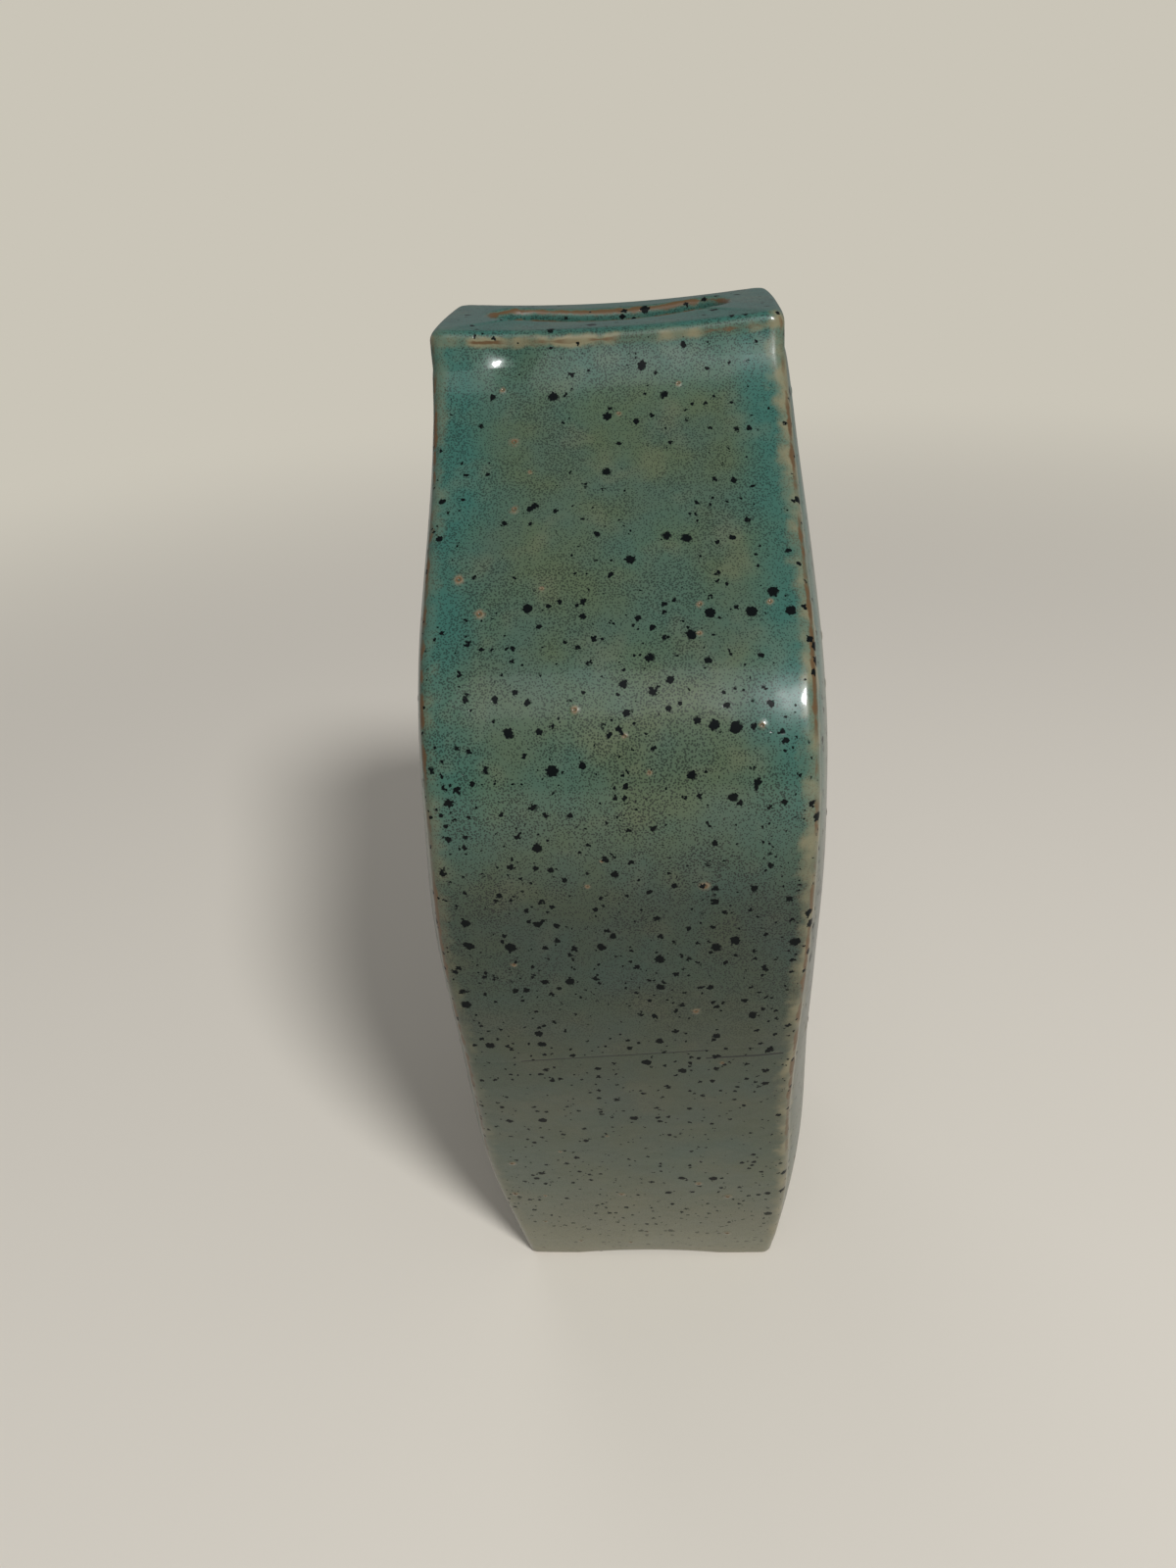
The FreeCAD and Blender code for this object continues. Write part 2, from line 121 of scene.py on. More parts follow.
def linear(colour):
    """Turn an sRGB hex colour into linear red, green, blue and full alpha."""
    channels = []
    for place in (1, 3, 5):
        value = int(colour[place:place + 2], 16) / 255
        channels.append(value / 12.92 if value <= 0.04045 else ((value + 0.055) / 1.055) ** 2.4)
    return (*channels, 1.0)


def length(name, value, description):
    """Return a property for a length in metres."""
    return FloatProperty(
        name=name, description=description, default=value, min=0.0, unit="LENGTH", precision=5)


def amount(name, value, description):
    """Return a property for a plain number."""
    return FloatProperty(name=name, description=description, default=value)


def colour(name, value, description):
    """Return a property for a colour given as an sRGB hex value."""
    return FloatVectorProperty(
        name=name, description=description, subtype="COLOR", size=4, min=0.0, max=1.0,
        default=linear(value))


def angle(name, degrees, description):
    """Return a property for an angle given in degrees."""
    return FloatProperty(
        name=name, description=description, subtype="ANGLE", default=math.radians(degrees))


def position(name, value, description):
    """Return a property for a place in metres."""
    return FloatVectorProperty(name=name, description=description, subtype="TRANSLATION", default=value)


class VaseShape(PropertyGroup):
    """Sizes of the vase, most of which follow the frame."""

    strip_width: length("Strip width", UPPER_HIGH.x - UPPER_LOW.x, "Width of the edge strips")
    slab: length("Slab thickness", 7 * MM, "Thickness of the clay slabs")
    lip_height: length("Lip height", 200 * MM, "Table to the ends of the lip")
    foot_depth: length("Foot depth", 70 * MM, "Front to back at the table")
    belly_depth: length("Belly depth", -2 * UPPER_LOW.y, "Front to back at the belly")
    neck_depth: length("Neck depth", 29 * MM, "Front to back at the lip")
    shoulder_drop: length("Shoulder drop", 60 * MM, "Lip down to the shoulder bend")
    belly_length: length("Belly length", 6 * MM, "Upright stretch of the belly")
    flank_straight: length("Straight flank", 81.1 * MM, "Straight stretch of the flank")
    shoulder_radius: length("Shoulder radius", 28 * MM, "Bend of the shoulder")
    neck_radius: length("Neck radius", 24 * MM, "Hollow bend under the lip")
    lip_lean: angle("Lip lean", 14, "Lean of the strip at the lip")
    seam_height: length("Seam height", LOWER_HIGH.z, "Height of the joint across a strip")
    rim_bottom: length("Rim bottom", RIM_LOW.z, "Height where the rim starts")
    crown: length("Crown", RIGHT_HIGH.x - UPPER_HIGH.x, "How far a side panel swells")
    edge_crown: length("Edge crown", 0.6 * MM, "The same at the foot and under the rim")
    crown_drop: amount("Crown drop", 0.75, "Puts the fullest swell below the middle, where 1 is the middle")
    crown_spread: amount("Crown spread", 0.6, "How evenly the swell fills the height, where 1 is a sine")
    crown_width: amount("Crown width", 0.65, "How evenly it fills the depth, where 1 is a parabola")
    crown_edge: length("Crown edge", 1.2 * MM, "Distance from the strip's face at which the swell ends")
    ridge_round: length("Ridge round", 2.0 * MM, "Rounding of the long ridges")
    lip_corner: length("Lip corner", 2.2 * MM, "Rounding of the ridges at the lip")
    corner_reach: length("Corner reach", 16 * MM, "Height below the lip over which it comes in")
    foot_round: length("Foot round", 1.5 * MM, "Rounding of the foot's edge")
    arch_rise: length("Arch rise", 1.2 * MM, "Gap under the middle of a strip")
    arch_length: length("Arch length", 32 * MM, "Length of that gap")
    arch_reach: length("Arch reach", 12 * MM, "Height up to which the arch lifts the skin")
    lip_dip: length("Lip dip", 1.1 * MM, "How far the lip sags in the middle")
    lip_round: length("Lip round", 2.0 * MM, "Rounding of the lip's outer edge")
    mouth_length: length("Mouth length", 38 * MM, "Slot along X")
    mouth_width: length("Mouth width", 12.5 * MM, "Slot along Y")
    mouth_round: length("Mouth round", 1.6 * MM, "Rounding of the slot's upper edge")
    seam_depth: length("Seam depth", 0.02 * MM, "Depth of the hairline joint")
    seam_tilt: amount("Seam tilt", 0.07, "How steeply the joint climbs to the right")
    seam_rise: length("Seam rise", 1.0 * MM, "How far hand work lifts the joint in the middle")
    seam_reach: length("Seam reach", 30 * MM, "Height over which that lift and tilt fade out")
    seam_half: length("Seam half width", 0.35 * MM, "Half width of the hairline joint")
    mesh_step: length("Mesh step", 0.8 * MM, "Spacing of the skin's points")
    wobble: length("Wobble", 0.45 * MM, "Unevenness of hand work over the whole vase")
    wobble_size: length("Wobble size", 62 * MM, "Size of that unevenness")
    ripple: length("Ripple", 0.09 * MM, "Unevenness over a fingertip's width")
    ripple_size: length("Ripple size", 15 * MM, "Width of a fingertip")
    side_reach: length("Side reach", 20 * MM, "Distance from the middle at which a side moves in full")
    left_flare: length("Left flare", 1.5 * MM, "How far the lip flares to the left")
    right_flare: length("Right flare", 0.4 * MM, "How far the lip flares to the right")
    flare_reach: length("Flare reach", 21 * MM, "Height over which the lip flares")
    bow: amount("Bow", 0.006, "How far a strip draws in at its ridges, as a share of its depth")
    bow_start: length("Bow start", 20 * MM, "Distance from the middle at which that starts")
    bow_end: length("Bow end", 29 * MM, "Distance from the middle at which it is full")
    dimple_left: length("Dimple to the left", 15 * MM, "Middle to a fingertip's dimple under the lip")
    dimple_height: length("Dimple height", 195 * MM, "Height of the dimple")
    dimple_depth: length("Dimple depth", 1.0 * MM, "Depth of the dimple")
    dimple_size: length("Dimple size", 2.8 * MM, "Radius of the dimple")
    foot_hold: length("Foot hold", 12 * MM, "Height below which the table holds the clay still")
    foot_play: amount("Foot play", 0.4, "Share of the sideways moves that is left at the table")
    lip_hold: length("Lip hold", 150 * MM, "Height from which the lip's height is held more and more")
    lip_held: length("Lip held", 194 * MM, "Height from which it is held in full")
    hand_seed: IntProperty(name="Hand seed", description="Which unevenness the hand left", default=4)


class VaseGlaze(PropertyGroup):
    """Colours and pattern sizes of the glaze and the clay."""

    teal: colour("Teal", "#325C53", "Glaze where it pools thick")
    grey: colour("Grey", "#43574A", "Glaze of middling thickness")
    olive: colour("Olive", "#4A5842", "Glaze where it lies thin")
    cream: colour("Cream", "#7B745A", "Glaze that breaks beside an edge")
    beige: colour("Beige", "#75735F", "Glaze wiped thin by the foot")
    rust: colour("Rust", "#58432A", "Clay that shows through on an edge")
    blush: colour("Blush", "#81705A", "Halo round a burst blister")
    # Besides the specks, the pepper and the joint's hairlines, this near-black is also what the painted
    # shade below the belly is mixed towards.
    iron: colour("Iron", "#0B0F10", "Iron specks melted through the glaze")
    clay: colour("Clay", "#A58E79", "Bare stoneware under the foot")
    patch_size: length("Patch size", 17 * MM, "Size of the thick and thin patches")
    cloud_size: length("Cloud size", 7 * MM, "Size of the pale clouds")
    rust_size: length("Rust size", 9 * MM, "Size of the stretches with more rust or pepper")
    ragged_size: length("Ragged size", 2.6 * MM, "Size of the wander in the lines along an edge")
    pepper_size: length("Pepper size", 0.33 * MM, "Spacing of the fine dark pepper")
    speck_spacing: length("Speck spacing", 2.9 * MM, "Spacing of the large iron specks")
    fleck_spacing: length("Fleck spacing", 2.0 * MM, "Spacing of the small iron specks")
    dot_spacing: length("Dot spacing", 1.1 * MM, "Spacing of the iron dots")
    chip_size: length("Chip size", 0.36 * MM, "Size of the chips in a speck's outline")
    speck_sink: length("Speck sink", 0.03 * MM, "How far a speck sinks below the surface")
    peel_size: length("Peel size", 3.5 * MM, "Size of the heaves in the surface")
    peel_height: length("Peel height", 0.07 * MM, "Height of those heaves")
    ridge_break: length("Ridge break", 0.55 * MM, "Width of the rusty line along a ridge")
    ridge_fringe: length("Ridge fringe", 3.0 * MM, "Width of the cream fringe along a ridge")
    lip_break: length("Lip break", 0.35 * MM, "Width of the rusty line along the lip")
    lip_fringe: length("Lip fringe", 1.2 * MM, "Width of the cream fringe along the lip")
    lip_rise: length("Lip rise", 0.4 * MM, "How far up the rounded edge the lip's line lies")
    mouth_break: length("Mouth break", 0.6 * MM, "Width of the rusty line along the slot")
    mouth_fringe: length("Mouth fringe", 0.9 * MM, "Width of the cream fringe along the slot")
    pool_width: length("Pool width", 12 * MM, "Width of the teal band inside a ridge")
    grain_size: length("Grain size", 0.8 * MM, "Size of the grains in bare clay")
    grain_height: length("Grain height", 0.15 * MM, "Height of those grains")
    blister_count: amount("Blisters", 3000.0, "Most blisters for each square metre")
    blister_gap: length("Blister gap", 4.2 * MM, "Least distance between two blisters")
    blister_small: length("Smallest blister", 0.65 * MM, "Radius of the smallest blister's halo")
    blister_large: length("Largest blister", 1.7 * MM, "Radius of the largest blister's halo")
    blister_seed: IntProperty(name="Blister seed", description="Where the blisters fall", default=7)


class VaseStage(PropertyGroup):
    """The studio round the vase."""

    camera_place: position("Camera place", (7.6 * MM, -205.8 * MM, 226.8 * MM), "Where the camera is")
    turn: angle("Turn", 4.78, "Camera turn to the left")
    tip: angle("Tip", 30.25, "Camera tip below level")
    roll: angle("Roll", -4.0, "Camera roll")
    lens: amount("Lens", 25.875, "Focal length in millimetres, for the frame's height")
    frame_height: amount("Frame height", 36.0, "Height of the camera's frame in millimetres")
    nearest: length("Nearest", 10 * MM, "Distance from which the camera sees")
    lamp_turn: angle("Lamp turn", 28.8, "Lamp's turn to the right of the front")
    lamp_climb: angle("Lamp climb", 46, "Lamp's angle above level")
    lamp_distance: length("Lamp distance", 1.6, "Lamp to vase")
    lamp_size: length("Lamp size", 0.3, "Width of the round lamp")
    lamp_power: amount("Lamp power", 21.0, "Watts of the lamp")
    high_place: position("High light place", (-0.1, -0.85, 1.3), "Middle of the soft high light")
    high_width: length("High light width", 0.6, "Width of the soft high light")
    high_depth: length("High light depth", 0.75, "Depth of the soft high light")
    high_power: amount("High light power", 1.3, "Watts of the soft high light")
    back_place: position("Back light place", (-0.6, 1.4, 0.45), "Middle of the soft back light")
    back_width: length("Back light width", 1.0, "Width of the soft back light")
    back_power: amount("Back light power", 5.0, "Watts of the soft back light")
    sky_level: amount("Sky level", 0.2, "Brightness of the light from all round")
    floor_tint: colour("Floor", "#DAD4C9", "Pale floor")
    backdrop: colour("Backdrop", "#CAC5B8", "What the floor fades into")
    fade_start: length("Fade start", 0.3, "Where the floor starts to fade into the backdrop")
    fade_end: length("Fade end", 0.9, "Where the floor has faded into the backdrop")


def smooth(low, high, value):
    """Return a smooth step from 0 at low to 1 at high."""
    share = min(1.0, max(0.0, (value - low) / (high - low)))
    return share * share * (3 - 2 * share)


def bump(value, middle, width):
    """Return a smooth bump that is 1 at its middle and fades over its width."""
    return math.exp(-((value - middle) / width) ** 2)


class Outline:
    """The vase seen from its broad side, as half depth against height."""

    def __init__(self, shape):
        self.shape = shape
        self.foot = shape.foot_depth / 2
        self.belly = shape.belly_depth / 2
        self.belly_top = shape.lip_height - shape.shoulder_drop
        self.belly_bottom = self.belly_top - shape.belly_length
        spread = self.belly - self.foot
        turn = (self.belly_bottom + shape.flank_straight) / spread
        self.flank_radius = spread / 2 * (turn ** 2 + 1) - shape.flank_straight * turn
        self.flank_lean = 2 * math.atan(1 / turn)
        self.flank_middle = self.belly - self.flank_radius
        self.shoulder_middle = self.belly - shape.shoulder_radius
        self.neck_middle = shape.neck_depth / 2 + shape.neck_radius * math.cos(shape.lip_lean)
        self.neck_height = shape.lip_height + shape.neck_radius * math.sin(shape.lip_lean)
        across = self.neck_middle - self.shoulder_middle
        climb = self.neck_height - self.belly_top
        swing = math.acos((shape.shoulder_radius + shape.neck_radius) / math.hypot(across, climb))
        self.shoulder_lean = math.atan2(climb, across) - swing

    def half_depth(self, height, inset=0.0):
        """Return how far the outline stands from the middle at one height."""
        shape = self.shape
        flank = self.flank_radius - inset
        shoulder = shape.shoulder_radius - inset
        neck = shape.neck_radius + inset
        flank_end = self.belly_bottom - flank * math.sin(self.flank_lean)
        shoulder_end = self.belly_top + shoulder * math.sin(self.shoulder_lean)
        neck_end = self.neck_height - neck * math.sin(self.shoulder_lean)
        if height <= flank_end:
            return self.foot - inset / math.cos(self.flank_lean) + height * math.tan(self.flank_lean)
        if height <= self.belly_bottom:
            return self.flank_middle + math.sqrt(flank ** 2 - (self.belly_bottom - height) ** 2)
        if height <= self.belly_top:
            return self.belly - inset
        if height <= shoulder_end:
            return self.shoulder_middle + math.sqrt(shoulder ** 2 - (height - self.belly_top) ** 2)
        if height <= neck_end:
            edge = self.shoulder_middle + shoulder * math.cos(self.shoulder_lean)
            return edge - (height - shoulder_end) * math.tan(self.shoulder_lean)
        return self.neck_middle - math.sqrt(neck ** 2 - (self.neck_height - height) ** 2)

    def stretch(self, height):
        """Return the length of outline for each unit of height."""
        step = 0.05 * MM
        rise = (self.half_depth(height + step) - self.half_depth(height - step)) / (2 * step)
        return math.hypot(1.0, rise)

    def rows(self, low, high, step, near=()):
        """Return heights from low to high, evenly spaced along the outline, with extra ones."""
        heights = [low]
        while heights[-1] < high:
            heights.append(heights[-1] + step / self.stretch(heights[-1]))
        scale = (high - low) / (heights[-1] - low)
        heights = [low + (height - low) * scale for height in heights]
        extra = [height for height in near if low < height < high]
        kept = [height for height in heights[1:-1]
                if all(abs(height - other) > step / 4 for other in extra)]
        return sorted([low, high] + kept + extra)


class Skin:
    """The outer surface of the vase, with the unevenness of hand work."""

    def __init__(self, shape):
        self.shape = shape
        self.outline = Outline(shape)
        self.half = shape.strip_width / 2
        noise.seed_set(shape.hand_seed)

    def foot_inset(self, height):
        """Return how far the foot's rounded edge draws the skin in."""
        radius = self.shape.foot_round
        if height >= radius:
            return 0.0
        return radius - math.sqrt(radius ** 2 - (radius - max(0.0, height)) ** 2)

    def seam_dent(self, height):
        """Return how far the hairline joint dents the strips."""
        shape = self.shape
        return shape.seam_depth * math.exp(-((height - shape.seam_height) / shape.seam_half) ** 2)

    def crown(self, height):
        """Return how far a side panel swells at one height."""
        shape = self.shape
        share = height / shape.rim_bottom
        if not 0.0 < share < 1.0:
            return shape.edge_crown
        fullness = math.sin(math.pi * share ** shape.crown_drop) ** shape.crown_spread
        return shape.edge_crown + (shape.crown - shape.edge_crown) * fullness

    def side(self, depth, height):
        """Return the half width of the vase at a depth and a height."""
        shape = self.shape
        share = min(1.0, abs(depth) / (self.outline.half_depth(height) - shape.crown_edge))
        swell = self.crown(height) * (1 - share ** 2) ** shape.crown_width
        return self.half + swell - self.foot_inset(height)

    def ridge(self, height):
        """Return the rounding of the ridges at one height, along X and along Y."""
        shape = self.shape
        low = self.outline.half_depth(height, shape.slab)
        high = self.outline.half_depth(height)
        top = smooth(shape.lip_height - shape.corner_reach, shape.lip_height - shape.lip_round, height)
        across = shape.ridge_round + (shape.lip_corner - shape.ridge_round) * top
        most_share = 0.6
        return across, min(across * self.outline.stretch(height), most_share * (high - low))

    def lift(self, point):
        """Raise the bottom of the foot into its shallow arch, and keep the rest."""
        shape = self.shape
        half = shape.arch_length / 2
        if point.z >= shape.arch_reach or abs(point.x) >= half:
            return point
        rise = shape.arch_rise * (1 - (point.x / half) ** 2)
        return Vector((point.x, point.y, point.z + rise * (1 - point.z / shape.arch_reach) ** 2))

    def lip_top(self, x):
        """Return the height of the lip, which sags in the middle."""
        share = min(1.0, abs(x) / self.half)
        return self.shape.lip_height - self.shape.lip_dip * (1 - share ** 2)

    def worked(self, point):
        """Move a point by the unevenness of hand work."""
        shape = self.shape
        broad = noise.noise_vector(point / shape.wobble_size + WOBBLE_START)
        close = noise.noise_vector(point / shape.ripple_size + RIPPLE_START)
        move = broad * shape.wobble + close * shape.ripple
        sides = {
            "both": 1.0,
            "right": smooth(0.0, shape.side_reach, point.x),
            "left": smooth(0.0, shape.side_reach, -point.x),
        }
        for side, push, height, reach in PUSHES:
            move.x += sides[side] * push * bump(point.z, height, reach)
        flare = shape.right_flare * sides["right"] - shape.left_flare * sides["left"]
        flare_end = shape.lip_height - shape.lip_dip
        move.x += flare * smooth(flare_end - shape.flare_reach, flare_end, point.z)
        # The strips are a little rounded towards their ridges.
        move.y -= shape.bow * point.y * smooth(shape.bow_start, shape.bow_end, abs(point.x))
        if point.y < 0:
            dent = math.hypot(point.x + shape.dimple_left, point.z - shape.dimple_height)
            move.y += shape.dimple_depth * bump(dent, 0.0, shape.dimple_size)
        # Nothing moves up or down at the table, so the foot stays flat, and the lip keeps its height;
        # sideways moves shrink at the table to a share.
        held = smooth(0.0, shape.foot_hold, point.z)
        move.z *= held * (1 - smooth(shape.lip_hold, shape.lip_held, point.z))
        lifted = shape.seam_tilt * point.x + shape.seam_rise
        move.z += lifted * bump(point.z, shape.seam_height, shape.seam_reach)
        play = shape.foot_play + (1 - shape.foot_play) * held
        move.x *= play
        move.y *= play
        return point + move


# Marks kept on the points of every piece, which the glaze follows: the distances from the ridge,
# the lip's edge, the slot's edge and the joint, and whether a point is inside. FAR is no edge near.
MARKS = ("edge_gap", "inside", "lip_gap", "mouth_gap", "seam_gap")
FAR = 60 * MM


def strip_columns(skin):
    """Return the columns of a strip's skin, left inner line to right: kind, hand and share."""
    step = skin.shape.mesh_step
    count = int(round(skin.shape.strip_width / step))
    sides = int(round(skin.shape.slab / step))
    columns = [("side", -1, share / sides) for share in range(sides)]
    columns += [("round", -1, share / ROUND_STEPS) for share in range(ROUND_STEPS)]
    columns += [("face", 0, 2 * share / count - 1) for share in range(count + 1)]
    columns += [("round", 1, 1 - (share + 1) / ROUND_STEPS) for share in range(ROUND_STEPS)]
    columns += [("side", 1, 1 - (share + 1) / sides) for share in range(sides)]
    return columns


def strip_point(skin, side, column, height):
    """Return a point of a strip's skin, with how far it is from the ridge."""
    kind, hand, share = column
    outline = skin.outline
    inset = skin.foot_inset(height) + skin.seam_dent(height)
    edge = outline.half_depth(height) - inset
    inner = outline.half_depth(height, skin.shape.slab)
    across, along = skin.ridge(height)
    shoulder = edge - along
    ridge = skin.side(shoulder, height) - skin.seam_dent(height)
    quarter = math.pi / 2 * across
    if kind == "face":
        x, y = share * (ridge - across), edge
        gap = (ridge - across) * (1 - abs(share)) + quarter / 2
    elif kind == "round":
        angle = share * math.pi / 2
        x = hand * (ridge - across + across * math.cos(angle))
        y = shoulder + along * math.sin(angle)
        gap = quarter * abs(share - 0.5)
    else:
        y = inner + (shoulder - inner) * share
        x = hand * (skin.side(y, height) - skin.seam_dent(height))
        gap = quarter / 2 + (shoulder - y) / outline.stretch(height)
    return Vector((x, side * y, height)), gap


def strip_ring(skin, side, columns, height, inner_count=18):
    """Return one level ring of a strip: its skin and then its inner face."""
    ring = []
    for column in columns:
        point, gap = strip_point(skin, side, column, height)
        ring.append((point, gap, 0.0))
    first, last = ring[0][0], ring[-1][0]
    for number in range(1, inner_count):
        point = last.lerp(first, number / inner_count)
        point.y = side * skin.outline.half_depth(height, skin.shape.slab)
        ring.append((point, FAR, 1.0))
    return ring


def panel_columns(skin):
    """Return the columns of a panel's skin, front to back, each as a share of its half depth."""
    count = int(round(2 * skin.outline.half_depth(skin.outline.belly_top) / skin.shape.mesh_step))
    return [2 * number / count - 1 for number in range(count + 1)]


def panel_point(skin, hand, share, height):
    """Return a point of a panel's skin, with how far it is from the nearer ridge."""
    outline = skin.outline
    inner = outline.half_depth(height, skin.shape.slab)
    across, along = skin.ridge(height)
    y = share * inner
    shoulder = outline.half_depth(height) - skin.foot_inset(height) - along
    gap = math.pi / 4 * across + (shoulder - abs(y)) / outline.stretch(height)
    # The joint's dent fades out past the strip, so that the pieces meet in one line.
    fade = smooth(0.9, 1.0, abs(share))
    x = skin.side(y, height) - skin.seam_dent(height) * fade
    return Vector((hand * x, y, height)), gap


def panel_ring(skin, hand, columns, height, inner_count=40):
    """Return one level ring of a side panel: its skin and then its inner face."""
    ring = []
    for share in columns:
        point, gap = panel_point(skin, hand, share, height)
        ring.append((point, gap, 0.0))
    for number in range(inner_count + 1):
        share = 1 - 2 * number / inner_count
        point, gap = panel_point(skin, hand, share, height)
        point.x -= hand * skin.shape.slab
        ring.append((point, FAR, 1.0))
    return ring


def perimeter(skin, strips, panels, height):
    """Return the whole skin at one height, round the vase from the front left."""
    loop = [strip_point(skin, -1, column, height) for column in strips]
    loop += [panel_point(skin, 1, share, height) for share in panels[1:-1]]
    loop += [strip_point(skin, 1, column, height) for column in reversed(strips)]
    loop += [panel_point(skin, -1, share, height) for share in reversed(panels[1:-1])]
    return loop


def shell(name, skin, rings, closed):
    """Skin a pile of rings and return the piece; closed joins the last ring to the first.

    Each entry of a ring is a point, how far it is from the nearest ridge and whether it is
    inside, and in the rim also how far it is from the lip's edge and from the mouth's edge.
    """
    mesh = bmesh.new()
    marks = [mesh.verts.layers.float.new(mark) for mark in MARKS]
    layers = []
    for ring in rings:
        verts = []
        for point, gap, hidden, *more in ring:
            lip = FAR if hidden else skin.lip_top(point.x) - skin.shape.lip_round - point.z
            vert = mesh.verts.new(skin.worked(skin.lift(point)))
            seam = point.z - skin.shape.seam_height
            for mark, value in zip(marks, (gap, hidden, *(more or (lip, FAR)), seam)):
                vert[mark] = value
            verts.append(vert)
        layers.append(verts)
    pairs = list(zip(layers, layers[1:]))
    if closed:
        pairs.append((layers[-1], layers[0]))
    for lower, upper in pairs:
        count = len(lower)
        for number in range(count):
            after = (number + 1) % count
            mesh.faces.new((lower[number], lower[after], upper[after], upper[number]))
    if not closed:
        mesh.faces.new(list(reversed(layers[0])))
        mesh.faces.new(layers[-1])
    bmesh.ops.recalc_face_normals(mesh, faces=mesh.faces)
    bmesh.ops.triangulate(mesh, faces=[face for face in mesh.faces if len(face.verts) > 4])
    for face in mesh.faces:
        face.smooth = True
    data = bpy.data.meshes.new(name)
    mesh.to_mesh(data)
    mesh.free()
    data.set_sharp_from_angle(angle=SHARP_ANGLE)
    piece = bpy.data.objects.new(name, data)
    bpy.context.scene.collection.objects.link(piece)
    return piece


def hand_in(piece, material, slot, *nodes):
    """Give a piece its finish and place in the frame."""
    piece.data.materials.clear()
    piece.data.materials.append(material)
    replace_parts(piece, *nodes)
    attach(piece, BODY)


def foot_rows(shape):
    """Return the close heights round the foot's rounded edge."""
    steps = 5
    turns = [math.pi / 2 * number / steps for number in range(1, steps + 1)]
    return [shape.foot_round * (1 - math.cos(turn)) for turn in turns]


def seam_rows(shape):
    """Return the close heights beside the hairline joint."""
    offsets = [share * shape.seam_half for share in (0.5, 1.0, 1.5, 2.2, 3.2)]
    return [shape.seam_height + side * offset for side in (-1, 1) for offset in offsets]


def add(tree, kind, inputs=(), **settings):
    """Add a node, set its settings and fill its inputs, or link them to nodes or sockets."""
    made = tree.nodes.new(kind)
    for name, value in settings.items():
        setattr(made, name, value)
    for key, value in dict(inputs).items():
        if isinstance(value, bpy.types.Node):
            value = next(socket for socket in value.outputs if socket.enabled)
        if isinstance(value, bpy.types.NodeSocket):
            tree.links.new(value, made.inputs[key])
        else:
            made.inputs[key].default_value = value
    return made


def new_material(name):
    """Return an empty node material and its tree."""
    material = bpy.data.materials.new(name)
    material.use_nodes = True
    material.node_tree.nodes.clear()
    return material, material.node_tree


def speck_mask(tree, place, chip, spacing, sizes, keep):
    """Return a mask of scattered specks: one in each kept cell, chipped to an angular outline."""
    chipped, core = 0.8, 0.86
    chips = add(tree, "ShaderNodeTexVoronoi", {"Vector": place, "Scale": 1 / chip})
    blunt = add(tree, "ShaderNodeMix", {
        "Factor": chipped, "A": place, "B": chips.outputs["Position"]}, data_type="VECTOR")
    cells = add(tree, "ShaderNodeTexVoronoi", {"Vector": blunt, "Scale": 1 / spacing})
    draw = add(tree, "ShaderNodeSeparateColor", {"Color": cells.outputs["Color"]})
    radius = add(tree, "ShaderNodeMapRange", {
        "Value": draw.outputs["Red"], "To Min": sizes[0] / spacing, "To Max": sizes[1] / spacing})
    shown = ramp(tree, cells.outputs["Distance"], radius, times(tree, radius, core))
    kept = add(tree, "ShaderNodeMath", {0: draw.outputs["Green"], 1: keep}, operation="LESS_THAN")
    return times(tree, shown, kept)


def ramp(tree, value, low, high, start=0.0, end=1.0):
    """Return a value that goes smoothly from start at low to end at high."""
    return add(tree, "ShaderNodeMapRange", {
        "Value": value, "From Min": low, "From Max": high, "To Min": start, "To Max": end},
        interpolation_type="SMOOTHSTEP")


def times(tree, first, second):
    """Return the product of two values."""
    return add(tree, "ShaderNodeMath", {0: first, 1: second}, operation="MULTIPLY")


def most(tree, first, second):
    """Return the larger of two values."""
    return add(tree, "ShaderNodeMath", {0: first, 1: second}, operation="MAXIMUM")


def blend(tree, share, under, over):
    """Return one colour laid over another by a share."""
    return add(tree, "ShaderNodeMix", {"Factor": share, "A": under, "B": over}, data_type="RGBA")


def cloud(tree, place, size, detail=2.0):
    """Return soft noise of one size."""
    return add(tree, "ShaderNodeTexNoise", {"Vector": place, "Scale": 1 / size, "Detail": detail})


